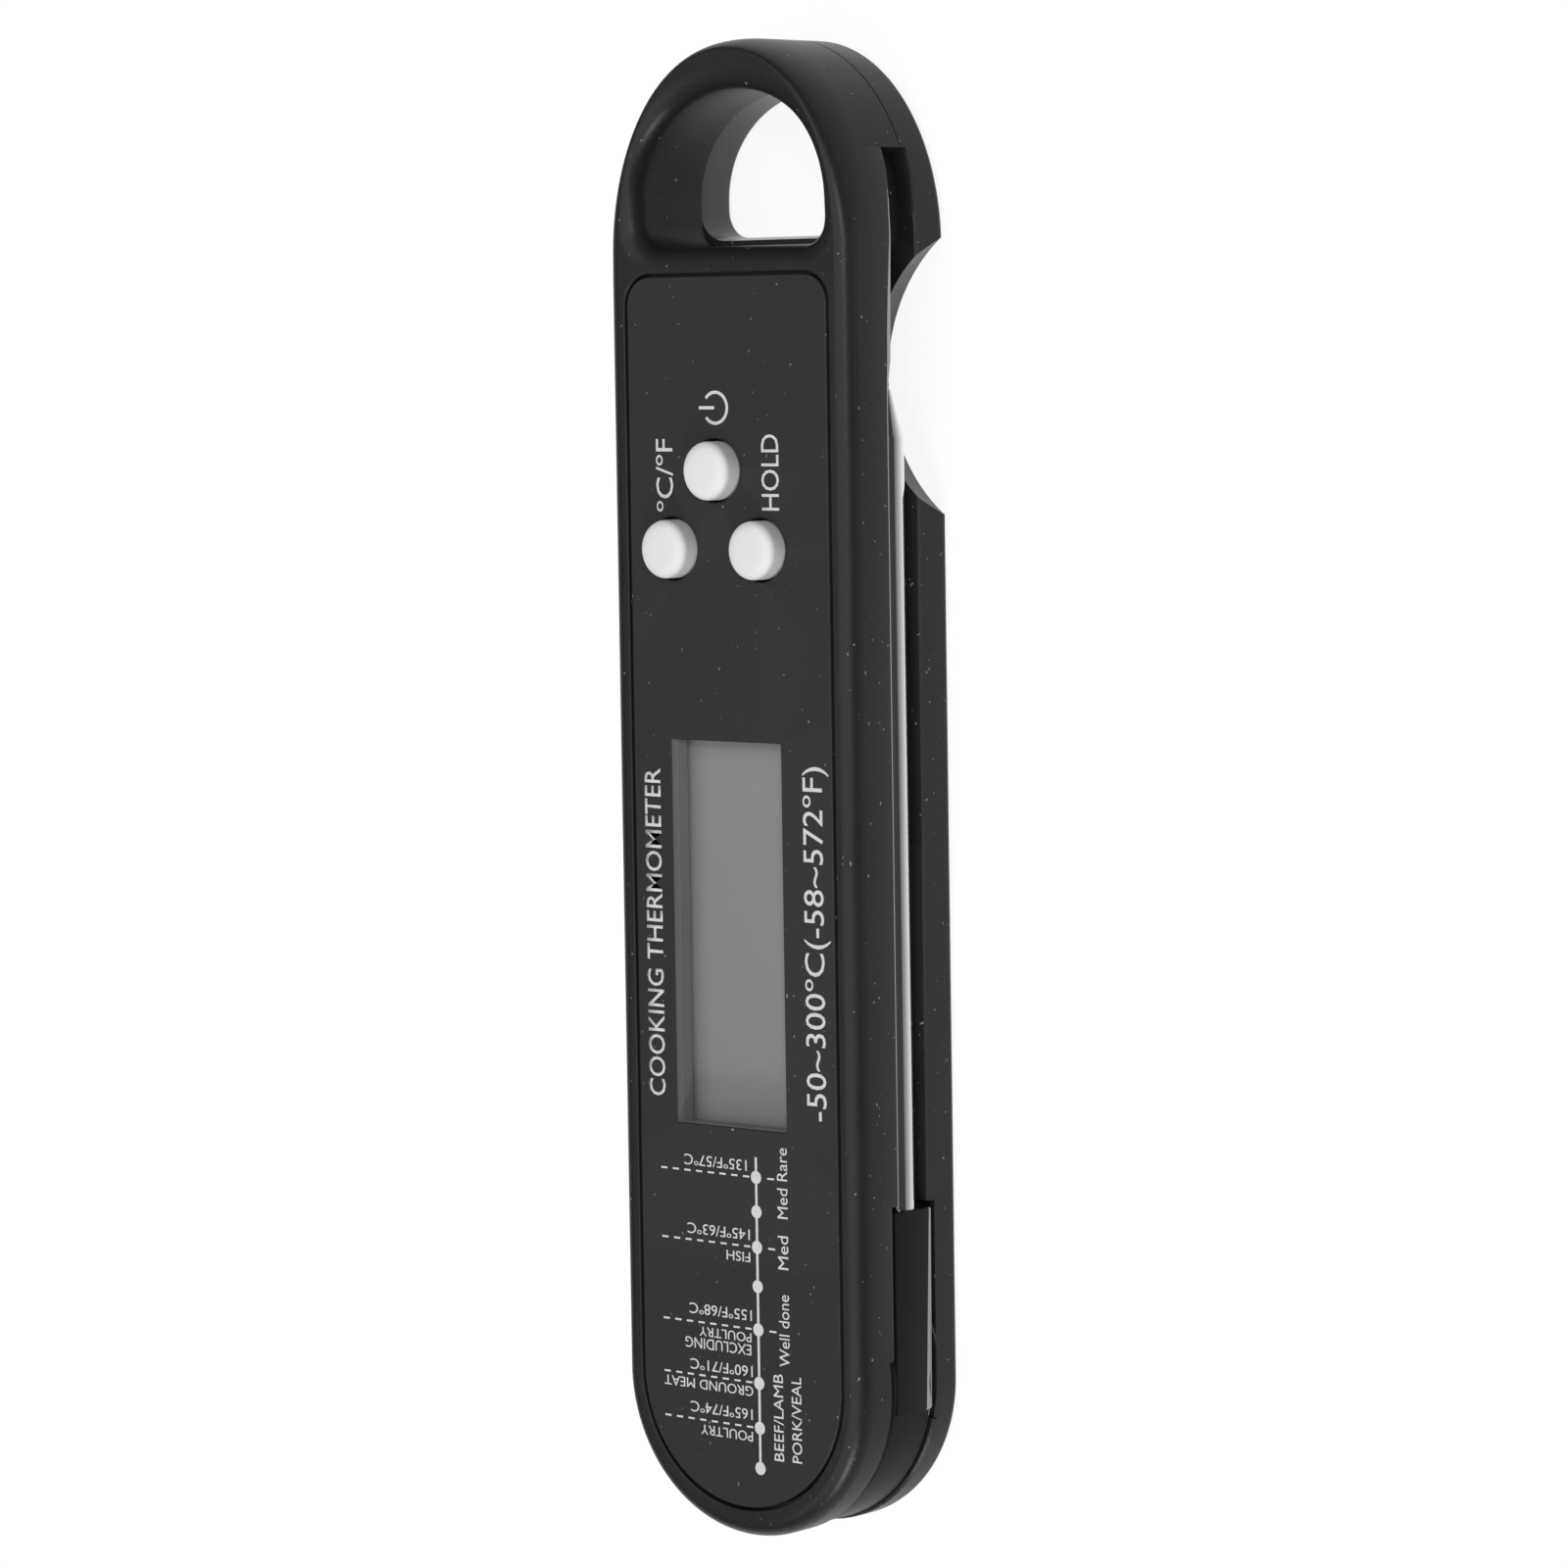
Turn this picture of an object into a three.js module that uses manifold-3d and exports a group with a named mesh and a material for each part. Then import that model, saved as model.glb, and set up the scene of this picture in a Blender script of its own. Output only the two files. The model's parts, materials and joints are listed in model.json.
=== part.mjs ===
// Folding digital probe thermometer, lying on its back.
// +Z is the face normal, +X runs towards the hanging loop and -Y is the side that stows the probe.
// The origin is under the middle of the casing, on the surface it lies on. Millimetres.
import * as THREE from 'three';
import { mergeVertices } from 'three/addons/utils/BufferGeometryUtils.js';
import Module from 'manifold-3d';

const wasm = await Module();
wasm.setup();

// ---------- driving dimensions ----------
const LENGTH = 158;
const WIDTH = 33.4;
const THICK = 16.2;                    // back face to front face
const HALF_L = LENGTH / 2;
const HALF_W = WIDTH / 2;
const NOSE = 21.7;                     // length of the elliptical loop end
const FRONT_ROUND = 1.8;               // front edge rounding
const BACK_ROUND = 1.2;
const WALL = 1.6;
const DRUM_WALL = 1.2;                 // round the probe's hub
const GAP = 0.3;                       // between parts that meet
const PART_Z = 5.0;                    // height of the joint between the two shells

const LOOP = { x: 62.5, rx: 11.2, ry: 12.7, flatFront: 57.4, flatBack: 58.5 };

const PIVOT_X = -HALF_L + HALF_W;      // probe hinge, on the centreline
const STEM_R = 1.75;
const STEM_Z = 7.25;                   // mid height of the stowed probe
const STEM_Y = -14.5;                  // stem centre where it enters the arm
const STEM_TILT = 0.002;               // the stem leans into its slot towards the tip
const STEM_END = 42.6;                 // tip
const CONE = 5.4;                      // length of the pointed end
const STEM_BORE = 1.25;                // radius of the hollow inside
const STEM_IN_ARM = 8.5;               // how far the stem runs into the arm
const ARM = { x0: -65.2, x1: -43.6, y0: -16.3, y1: -12.2, z0: 4.25, z1: 10.25 };
const HUB = { r: 16.4, z0: 4.3, z1: 10.8, bore: 4.0, wire0: 7.0, wire1: 12.6, wireFloor: 2.0 };
const HUB_SLOT = { z0: 3.9, z1: 11.2, reach: 6.6 };
const ARM_SLOT = { x0: -66.4, x1: -42.9, z0: 3.6, z1: 10.9, depth: 5.6 };
const SLOT = { x1: 67.3, z0: 5.0, z1: 9.5, y: -11.5, loopDepth: 2.0 };
const NOTCH = { x: 43.5, y: -26.9, r0: 18.0, r1: 16.2 };   // finger scoop, wider at the back

const PLATE = { x0: -75.7, x1: 54.3, halfW: 13.74, thick: 1.2, corner: 3.0, groove: 0.35 };
const WINDOW = { x0: -35.2, x1: 5.6, y0: -6.75, y1: 8.45 };
const BUTTON_R = 3.08;
const BUTTON_RISE = 2.1;
const BUTTONS = { power: [34.0, 1.7], unit: [25.75, 7.75], hold: [25.75, -4.4] };

const CAVITY = { x0: -45.3, x1: 54.0, y0: -10.0, y1: HALF_W - WALL, floor: 1.8, roof: THICK - 3.0 };
const BOARD = { x0: -40.3, x1: 44.0, y0: -9.6, y1: 14.7, z0: 8.0, z1: 9.0 };
const LCD = { x: -14.8, y: 0.85, lx: 46, ly: 18.6, z0: 10.95, z1: 12.85 };
const LCD_POCKET = { x0: -40.2, x1: 10.6, y0: -9.95, y1: 11.65 };
const LENS = { lx: 47.6, ly: 19.8, thick: 0.65 };
const ZEBRA = { long: 40, wide: 1.8, offset: 8.1 };
const WIRE_CHANNEL = { x0: -64, y0: 1.6, y1: 4.6 };
const BATTERY = { x: 24.0, y: 2.3, r: 10.0, z0: 2.7, z1: 5.9 };
const COVER = {
  flange: 12.4, plug: 10.5, hole: 11.0, lug: 11.6, lugWidth: 3.6, lugs: 3, lugOpen: -50,
};
const SCREWS = [[49.5, 10.8], [49.5, -5.2], [-42.9, 12.1], [-42.9, -7.4]];
const SCREW = {
  head: 2.3, well: 2.6, sunk: 1.8, shank: 1.1, clear: 1.5, pilot: 1.3, boss: 2.4, foot: 3.3,
};
const SCREW_TIP = 10.6;
const PIVOT_SCREW_TIP = 13.6;
const PAST = 100;                      // well beyond the casing, for trimming blocks

// ---------- solids ----------
function solid(geometry) {
  geometry.deleteAttribute('normal');
  geometry.deleteAttribute('uv');
  const g = mergeVertices(geometry, 1e-5);
  return new wasm.Manifold(new wasm.Mesh({
    numProp: 3,
    vertProperties: new Float32Array(g.attributes.position.array),
    triVerts: new Uint32Array(g.index.array),
  }));
}

function block(x0, x1, y0, y1, z0, z1) {
  const g = new THREE.BoxGeometry(x1 - x0, y1 - y0, z1 - z0);
  g.translate((x0 + x1) / 2, (y0 + y1) / 2, (z0 + z1) / 2);
  return solid(g);
}

function cone(x, y, r0, r1, z0, z1, sides = 40) {
  const g = new THREE.CylinderGeometry(r1, r0, z1 - z0, sides);
  g.rotateX(Math.PI / 2);
  g.translate(x, y, (z0 + z1) / 2);
  return solid(g);
}

const disc = (x, y, r, z0, z1, sides) => cone(x, y, r, r, z0, z1, sides);

function lathe(points, sides = 32) {
  const g = new THREE.LatheGeometry(points.map(([r, h]) => new THREE.Vector2(r, h)), sides);
  g.rotateX(Math.PI / 2);
  return solid(g);
}

function prism(shape, z0, z1, steps = 12, round = 0) {
  const g = new THREE.ExtrudeGeometry(shape, {
    depth: z1 - z0 - 2 * round,
    curveSegments: steps,
    bevelEnabled: round > 0,
    bevelThickness: round,
    bevelSize: round,
    bevelOffset: -round,
    bevelSegments: 2,
  });
  g.translate(0, 0, z0 + round);
  return solid(g);
}

function sidePrism(points, y0, y1) {
  // points are [x, z]; the outline is swept from y0 to y1
  const g = new THREE.ExtrudeGeometry(new THREE.Shape(points.map(([x, z]) => new THREE.Vector2(x, z))),
    { depth: y1 - y0, bevelEnabled: false });
  g.rotateX(Math.PI / 2);
  g.translate(0, y1, 0);
  return solid(g);
}

const union = (...parts) => parts.reduce((a, b) => a.add(b));
const cut = (body, ...tools) => tools.reduce((a, b) => a.subtract(b), body);

// ---------- outlines ----------
function caseOutline(inset = 0) {
  const w = HALF_W - inset;
  const s = new THREE.Shape();
  s.moveTo(PIVOT_X, -w);
  s.lineTo(HALF_L - NOSE, -w);
  s.absellipse(HALF_L - NOSE, 0, NOSE - inset, w, -Math.PI / 2, Math.PI / 2, false);
  s.lineTo(PIVOT_X, w);
  s.absarc(PIVOT_X, 0, w, Math.PI / 2, Math.PI * 1.5, false);
  return s;
}

function loopOutline(flat) {
  const r = 3.0;
  const s = new THREE.Shape();
  s.moveTo(flat, -LOOP.ry + r);
  s.absarc(flat + r, -LOOP.ry + r, r, Math.PI, Math.PI * 1.5, false);
  s.lineTo(LOOP.x, -LOOP.ry);
  s.absellipse(LOOP.x, 0, LOOP.rx, LOOP.ry, -Math.PI / 2, Math.PI / 2, false);
  s.lineTo(flat + r, LOOP.ry);
  s.absarc(flat + r, LOOP.ry - r, r, Math.PI / 2, Math.PI, false);
  return s;
}

function plateOutline(grow = 0) {
  const w = PLATE.halfW + grow;
  const r = PLATE.corner + grow;
  const right = PLATE.x1 + grow;
  const s = new THREE.Shape();
  s.moveTo(PLATE.x0 + PLATE.halfW, -w);
  s.lineTo(right - r, -w);
  s.absarc(right - r, -w + r, r, -Math.PI / 2, 0, false);
  s.absarc(right - r, w - r, r, 0, Math.PI / 2, false);
  s.lineTo(PLATE.x0 + PLATE.halfW, w);
  s.absarc(PLATE.x0 + PLATE.halfW, 0, w, Math.PI / 2, Math.PI * 1.5, false);
  return s;
}

// ---------- room for the folding probe, cut from both shells ----------
function probeRoom() {
  const deepSlot = block(ARM_SLOT.x1 - 1, 56.5, -HALF_W - 2, SLOT.y, SLOT.z0, SLOT.z1);
  const loopSlot = cut(
    block(55, SLOT.x1, -HALF_W - 2, -10, SLOT.z0, SLOT.z1),
    prism(caseOutline(SLOT.loopDepth), 0, THICK, 10),
  );
  const armSlot = block(ARM_SLOT.x0, ARM_SLOT.x1, -HALF_W - 2, -HALF_W + ARM_SLOT.depth,
    ARM_SLOT.z0, ARM_SLOT.z1);
  const drum = disc(PIVOT_X, 0, HALF_W + GAP, HUB_SLOT.z0, HUB_SLOT.z1, 48);
  const sweep = block(-HALF_L - 2, PIVOT_X + HUB_SLOT.reach, 0, HALF_W + 2, HUB_SLOT.z0, HUB_SLOT.z1);
  const end = block(-HALF_L - 2, PIVOT_X, -HALF_W - 2, 0, HUB_SLOT.z0, HUB_SLOT.z1);
  return union(deepSlot, loopSlot, armSlot, drum, sweep, end);
}

function notchCutter(extra = 0) {
  const slope = (NOTCH.r0 - NOTCH.r1) / PART_Z;
  return cone(NOTCH.x, NOTCH.y, NOTCH.r0 + extra + slope, NOTCH.r1 + extra - slope, -1, PART_Z + 1, 56);
}

const at = (list, make) => list.map(([x, y]) => make(x, y));

// ---------- casing ----------
function frontShell() {
  const z0 = PART_Z + GAP / 2;
  const roofUnderPlate = THICK - PLATE.thick - GAP;
  const outer = cut(prism(caseOutline(), z0 - 4, THICK, 11, FRONT_ROUND),
    block(-PAST, PAST, -PAST, PAST, z0 - 10, z0));
  const cavity = block(CAVITY.x0, CAVITY.x1, CAVITY.y0, CAVITY.y1, z0 - 1, CAVITY.roof);
  const drumWall = disc(PIVOT_X, 0, HALF_W + DRUM_WALL, z0 - 2, CAVITY.roof + 1, 40);
  const lcdPocket = block(LCD_POCKET.x0, LCD_POCKET.x1, LCD_POCKET.y0, LCD_POCKET.y1,
    CAVITY.roof - 1, roofUnderPlate - 1.0);
  const window = block(WINDOW.x0, WINDOW.x1, WINDOW.y0, WINDOW.y1, CAVITY.roof - 1, THICK + 1);
  const wireChannel = block(WIRE_CHANNEL.x0, CAVITY.x0 + 1, WIRE_CHANNEL.y0, WIRE_CHANNEL.y1,
    HUB_SLOT.z1 - 1, CAVITY.roof);
  const bosses = at(SCREWS, (x, y) => disc(x, y, SCREW.boss, z0, CAVITY.roof + 0.5, 14));
  const pilots = at(SCREWS, (x, y) => disc(x, y, SCREW.pilot, z0 - 1, SCREW_TIP + 0.8, 12));
  const pivotPilot = disc(PIVOT_X, 0, SCREW.pilot, HUB_SLOT.z1 - 1, PIVOT_SCREW_TIP + 0.4, 12);
  const buttonHoles = at(Object.values(BUTTONS),
    (x, y) => disc(x, y, BUTTON_R + GAP, CAVITY.roof - 1, THICK + 1, 24));
  let shell = cut(outer, prism(loopOutline(LOOP.flatFront), 0, THICK + 1, 9),
    prism(plateOutline(PLATE.groove), roofUnderPlate, THICK + 1, 7),
    cavity.subtract(drumWall), lcdPocket, window);
  shell = union(shell, ...bosses);
  return cut(shell, probeRoom(), wireChannel, ...pilots, pivotPilot, ...buttonHoles);
}

function backShell() {
  const z1 = PART_Z - GAP / 2;
  const outer = cut(prism(caseOutline(), 0, z1 + 4, 11, BACK_ROUND),
    block(-PAST, PAST, -PAST, PAST, z1, z1 + 10));
  const drumWall = disc(PIVOT_X, 0, HALF_W + DRUM_WALL, 0, z1 + 1, 40);
  const chamberWall = disc(BATTERY.x, BATTERY.y, COVER.lug + 1.3, 0, z1 + 1, 36);
  const cavity = cut(block(CAVITY.x0, CAVITY.x1, CAVITY.y0, CAVITY.y1, CAVITY.floor, z1 + 1),
    drumWall, chamberWall, notchCutter(1.3));
  const chamber = disc(BATTERY.x, BATTERY.y, COVER.lug + GAP, CAVITY.floor, z1 + 1, 36);
  const hole = disc(BATTERY.x, BATTERY.y, COVER.hole, -1, CAVITY.floor + 1, 36);
  const coverSeat = disc(BATTERY.x, BATTERY.y, COVER.flange + GAP, -1, 1.25, 40);
  const lugGates = lugAngles(COVER.lugOpen)
    .map((a) => lugBlock(a, COVER.lugWidth + 0.8, COVER.lug + GAP, 0, CAVITY.floor + 0.5));
  const bosses = at(SCREWS, (x, y) => disc(x, y, SCREW.foot, CAVITY.floor - 0.5, z1, 14));
  const shanks = at(SCREWS, (x, y) => disc(x, y, SCREW.clear, -1, z1 + 1, 10));
  const heads = at(SCREWS, (x, y) => disc(x, y, SCREW.well, -1, SCREW.sunk, 16));
  const post = cut(disc(PIVOT_X, 0, HUB.bore - 0.1, 1, HUB_SLOT.z1 - GAP, 28),
    disc(PIVOT_X, 0, SCREW.clear, 0, THICK, 10));
  const postHoles = [disc(PIVOT_X, 0, SCREW.clear, -1, PART_Z + 1, 10),
    disc(PIVOT_X, 0, SCREW.well, -1, SCREW.sunk, 16)];
  let shell = cut(outer, prism(loopOutline(LOOP.flatBack), -1, z1 + 1, 9),
    cavity, chamber, hole, coverSeat, ...lugGates, notchCutter());
  shell = union(shell, ...bosses);
  shell = cut(shell, probeRoom(), ...shanks, ...heads);
  return cut(union(shell, post), ...postHoles);
}

// ---------- display and electronics ----------
function facePlate() {
  const z0 = THICK - PLATE.thick;
  const holes = at(Object.values(BUTTONS), (x, y) => disc(x, y, BUTTON_R + GAP, z0 - 1, THICK + 1, 24));
  return cut(prism(plateOutline(), z0, THICK, 7),
    block(WINDOW.x0, WINDOW.x1, WINDOW.y0, WINDOW.y1, z0 - 1, THICK + 1), ...holes);
}

function lcdFrame() {
  const { x, y, lx, ly } = LCD;
  const rim = 2.5;
  const clear = 0.4;
  return cut(slab(x, y, lx + rim, ly + rim, BOARD.z1 + 0.15, LCD.z1),
    slab(x, y, lx + clear, ly + clear, 0, LCD.z1 + 1));
}

const slab = (x, y, lx, ly, z0, z1) => block(x - lx / 2, x + lx / 2, y - ly / 2, y + ly / 2, z0, z1);
const lcdModule = () => slab(LCD.x, LCD.y, LCD.lx, LCD.ly, LCD.z0, LCD.z1);
const windowLens = () => slab(LCD.x, LCD.y, LENS.lx, LENS.ly, LCD.z1 + 0.1, LCD.z1 + 0.1 + LENS.thick);
const zebraStrip = (side) => slab(LCD.x, LCD.y + side * ZEBRA.offset, ZEBRA.long, ZEBRA.wide,
  BOARD.z1 + 0.1, LCD.z0 - 0.1);
const circuitBoard = () => block(BOARD.x0, BOARD.x1, BOARD.y0, BOARD.y1, BOARD.z0, BOARD.z1);

function chipCover() {
  // poured resin dome over the bare chip, under the board
  const radius = 4.2;
  const tall = 1.3;
  const spot = [-6, 2];
  const profile = Array.from({ length: 6 }, (_, i) => {
    const a = (i / 6) * Math.PI / 2;
    return [radius * Math.cos(a), tall * Math.sin(a)];
  });
  const dome = lathe([[0, 0], ...profile, [0, tall]], 18);
  return dome.rotate([180, 0, 0]).translate([...spot, BOARD.z0 - 0.1]);
}

function tactSwitch([x, y]) {
  const z = BOARD.z1 + 0.1;
  const size = 5.2;
  const tall = 1.6;
  const plunger = disc(x, y, size / 4, z + tall - 0.1, z + tall + 0.5, 14);
  return union(slab(x, y, size, size, z, z + tall), plunger);
}

function pushButton([x, y]) {
  const roof = CAVITY.roof - 0.2;
  const foot = roof - 0.9;
  const flange = BUTTON_R + 1.0;
  const top = THICK + BUTTON_RISE;
  const crown = 0.95;
  const dome = Array.from({ length: 6 }, (_, i) => {
    const a = (i / 6) * Math.PI / 2;
    return [BUTTON_R * Math.cos(a) ** 0.36, top - crown + crown * Math.sin(a)];
  });
  return lathe([[0, foot], [flange, foot], [flange, roof], [BUTTON_R, roof], ...dome, [0, top]], 24)
    .mirror([0, 1, 0])
    .translate([x, y, 0]);
}

// ---------- battery ----------
function battery() {
  const { x, y, r, z0, z1 } = BATTERY;
  return union(disc(x, y, r, z0, z1 - 0.5, 32), disc(x, y, r - 1.1, z0 + 1, z1, 32));
}

function lugAngles(offset) {
  return Array.from({ length: COVER.lugs }, (_, i) => offset + i * 360 / COVER.lugs);
}

function lugBlock(angle, width, reach, z0, z1) {
  return block(COVER.plug - 1.5, reach, -width / 2, width / 2, z0, z1)
    .rotate([0, 0, angle])
    .translate([BATTERY.x, BATTERY.y, 0]);
}

function batteryCover() {
  const { x, y } = BATTERY;
  const top = 2.5;
  const lugs = lugAngles(0).map((a) => lugBlock(a, COVER.lugWidth, COVER.lug, top - 0.5, top));
  const coinSlot = slab(x, y, 13, 2, -1, 0.7);
  const flange = disc(x, y, COVER.flange, 0.05, 1.1, 40);
  return cut(union(flange, disc(x, y, COVER.plug - 0.4, 1, top, 32), ...lugs), coinSlot);
}

function coverSeal() {
  const { x, y } = BATTERY;
  return ring(x, y, COVER.plug - 0.3, COVER.hole - 0.15, 1.15, 1.65, 32);
}

function contactPlus() {
  // side clip that grips the rim of the cell
  const x = BATTERY.x - BATTERY.r - 0.15;
  const top = BOARD.z0 - 0.1;
  const foot = BATTERY.z0 + 0.4;
  const sheet = 0.3;
  const tab = 4;
  return sidePrism([[x, foot], [x, top], [x - tab, top], [x - tab, top - sheet],
    [x - sheet, top - sheet], [x - sheet, foot]], BATTERY.y - 2.5, BATTERY.y + 2.5);
}

function contactMinus() {
  // leaf under the board that presses on the middle of the cell
  const { x, y, z1 } = BATTERY;
  const top = BOARD.z0 - 0.1;
  const low = z1 + 0.1;
  const sheet = 0.3;
  return sidePrism([[x + 8, top], [x + 4, top], [x - 3, low + sheet], [x - 6, low + sheet],
    [x - 6, low], [x - 2.9, low], [x + 4.1, top - sheet], [x + 8, top - sheet]], y - 1.8, y + 1.8);
}

// ---------- fasteners ----------
function caseScrew([x, y], tip) {
  const cross = union(slab(x, y, 2.8, 0.6, 0, 1.1), slab(x, y, 0.6, 2.8, 0, 1.1));
  const head = disc(x, y, SCREW.head, 0.4, 1.6, 16);
  const shank = disc(x, y, SCREW.shank, 1.5, tip - 1, 10);
  return cut(union(head, shank, cone(x, y, SCREW.shank, 0.3, tip - 1, tip, 10)), cross);
}

function ring(x, y, r0, r1, z0, z1, sides = 32) {
  return cut(disc(x, y, r1, z0, z1, sides), disc(x, y, r0, z0 - 1, z1 + 1, sides));
}

// ---------- probe ----------
function probeHub() {
  const drum = disc(PIVOT_X, 0, HUB.r, HUB.z0, HUB.z1, 48);
  const arm = block(ARM.x0, ARM.x1, ARM.y0, ARM.y1, ARM.z0, ARM.z1);
  const bore = disc(PIVOT_X, 0, HUB.bore, 0, THICK, 28);
  const wireRing = ring(PIVOT_X, 0, HUB.wire0, HUB.wire1, HUB.z0 + HUB.wireFloor, HUB.z1 + 1);
  const around = STEM_R + 0.15;
  const bottom = ARM.x1 - STEM_IN_ARM - 0.5;
  const socket = block(bottom, ARM.x1 + 1, STEM_Y - around, STEM_Y + around + 0.1,
    STEM_Z - around, STEM_Z + around);
  const way = 0.6;
  const leadWay = block(PIVOT_X - way, bottom + 1, STEM_Y - way, STEM_Y + way,
    STEM_Z - way, STEM_Z + way);
  const leadTurn = block(PIVOT_X - way, PIVOT_X + way, STEM_Y - way, 0.5 - HUB.wire1,
    STEM_Z - way, STEM_Z + way);
  return cut(union(drum, arm), bore, wireRing, socket, leadWay, leadTurn);
}

function alongStem(body) {
  // from standing on its base at the origin to lying along +X in the arm
  return body.rotate([0, 90, 0])
    .rotate([0, 0, THREE.MathUtils.radToDeg(STEM_TILT)])
    .translate([ARM.x1 - STEM_IN_ARM, STEM_Y, STEM_Z]);
}

const STEM_LONG = STEM_END - (ARM.x1 - STEM_IN_ARM);

function probeStem() {
  const long = STEM_LONG;
  const profile = [[STEM_BORE, 0], [STEM_R, 0], [STEM_R, long - CONE], [0.45, long - 0.35],
    [0.25, long - 0.1], [0, long], [0, long - 3.2], [STEM_BORE, long - CONE - 0.6], [STEM_BORE, 0]];
  return alongStem(lathe(profile, 20));
}

function sensorBead() {
  const end = STEM_LONG - CONE + 0.1;
  return alongStem(disc(0, 0, 0.75, end - 2.7, end, 12));
}

function sensorLeads() {
  const half = 0.3;
  const inStem = alongStem(disc(0, 0, 0.4, -0.5, STEM_LONG - CONE - 2.9, 8));
  const inArm = block(PIVOT_X - half, ARM.x1 - STEM_IN_ARM + 0.3, STEM_Y - half, STEM_Y + half,
    STEM_Z - half, STEM_Z + half);
  const toRing = block(PIVOT_X - half, PIVOT_X + half, STEM_Y, 0.6 - HUB.wire1,
    STEM_Z - half, STEM_Z + half);
  return union(inStem, inArm, toRing);
}

function hubLeads() {
  // from the board, over the hub's edge and round the wire ring, so that the hub can turn half a turn
  const r = (HUB.wire0 + HUB.wire1) / 2 - 0.2;
  const y = (WIRE_CHANNEL.y0 + WIRE_CHANNEL.y1) / 2;
  const over = CAVITY.roof - 1.1;
  const points = [
    new THREE.Vector3(BOARD.x0 + 0.8, y, BOARD.z1 + 0.8),
    new THREE.Vector3(BOARD.x0 - 2.5, y, BOARD.z1 + 1.4),
    new THREE.Vector3(CAVITY.x0 - 0.6, y, over),
    new THREE.Vector3(CAVITY.x0 - 4.5, y, over),
    new THREE.Vector3(PIVOT_X + r + 0.2, y + 0.3, 10.2),
  ];
  for (let i = 0; i <= 6; i += 1) {
    const a = THREE.MathUtils.degToRad(40 + i * 20);
    points.push(new THREE.Vector3(PIVOT_X + r * Math.cos(a), r * Math.sin(a), 8.0 - i * 0.1));
  }
  const path = new THREE.CatmullRomCurve3(points, false, 'centripetal');
  const section = new THREE.Shape();
  section.absarc(0, 0, 0.5, 0, Math.PI * 2, false);
  return solid(new THREE.ExtrudeGeometry(section,
    { steps: 40, curveSegments: 4, bevelEnabled: false, extrudePath: path }));
}

// ---------- materials ----------
const finish = (color, roughness, metalness = 0) => (
  new THREE.MeshStandardMaterial({ color, roughness, metalness })
);
const looks = {
  shell: () => finish(0x1b1b1c, 0.42),
  plate: () => finish(0x29292a, 0.5),
  white: () => finish(0xe6e6e4, 0.35),
  clear: () => finish(0xb8bcbc, 0.08),
  lcd: () => finish(0x8d9088, 0.3),
  rubber: () => finish(0x303030, 0.85),
  board: () => finish(0x1f5a35, 0.55),
  resin: () => finish(0x101010, 0.3),
  steel: () => finish(0xc9cacb, 0.22, 1),
  spring: () => finish(0xb9b08a, 0.35, 1),
  bead: () => finish(0x6a4a2a, 0.5),
  wire: () => finish(0xa03028, 0.6),
};

const thermometer = new THREE.Group();

function place(name, body, look, group = thermometer) {
  const out = body.getMesh();
  const g = new THREE.BufferGeometry();
  g.setAttribute('position', new THREE.BufferAttribute(new Float32Array(out.vertProperties), 3));
  g.setIndex(new THREE.BufferAttribute(new Uint32Array(out.triVerts), 1));
  g.computeVertexNormals();
  const mesh = new THREE.Mesh(g, looks[look]());
  mesh.name = name;
  group.add(mesh);
}

const casing = new THREE.Group();
const probe = new THREE.Group();
thermometer.add(casing, probe);

place('front_shell', frontShell(), 'shell', casing);
place('back_shell', backShell(), 'shell', casing);
place('face_plate', facePlate(), 'plate', casing);
place('window_lens', windowLens(), 'clear', casing);
place('lcd_module', lcdModule(), 'lcd', casing);
place('lcd_frame', lcdFrame(), 'plate', casing);
place('zebra_strip_left', zebraStrip(1), 'rubber', casing);
place('zebra_strip_right', zebraStrip(-1), 'rubber', casing);
place('circuit_board', circuitBoard(), 'board', casing);
place('chip_cover', chipCover(), 'resin', casing);
for (const [name, spot] of Object.entries(BUTTONS)) {
  place(`switch_${name}`, tactSwitch(spot), 'resin', casing);
  place(`button_${name}`, pushButton(spot), 'white');
}
place('battery', battery(), 'steel', casing);
place('battery_contact_plus', contactPlus(), 'spring', casing);
place('battery_contact_minus', contactMinus(), 'spring', casing);
place('battery_cover', batteryCover(), 'shell');
place('battery_cover_seal', coverSeal(), 'rubber', casing);
SCREWS.forEach((spot, i) => place(`case_screw_${i + 1}`, caseScrew(spot, SCREW_TIP), 'steel', casing));
place('pivot_screw', caseScrew([PIVOT_X, 0], PIVOT_SCREW_TIP), 'steel', casing);
const washer = ring(PIVOT_X, 0, HUB.bore + 0.3, HUB.wire0 - 0.4, HUB.z1 + 0.1, HUB.z1 + 0.3);
place('hub_spring_washer', washer, 'spring', casing);
place('hub_leads', hubLeads(), 'wire', casing);
place('probe_hub', probeHub(), 'shell', probe);
place('probe_stem', probeStem(), 'steel', probe);
place('sensor_bead', sensorBead(), 'bead', probe);
place('sensor_leads', sensorLeads(), 'wire', probe);

export default thermometer;
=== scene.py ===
"""Folding probe thermometer lying on its back on a pale floor.

Shapes are worked out in millimetres and scaled by MM. Materials, lamps and the floor are in metres.
"""

import json
import math

import bmesh
import bpy
from mathutils import Matrix, Vector
from mathutils.geometry import delaunay_2d_cdt

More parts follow.
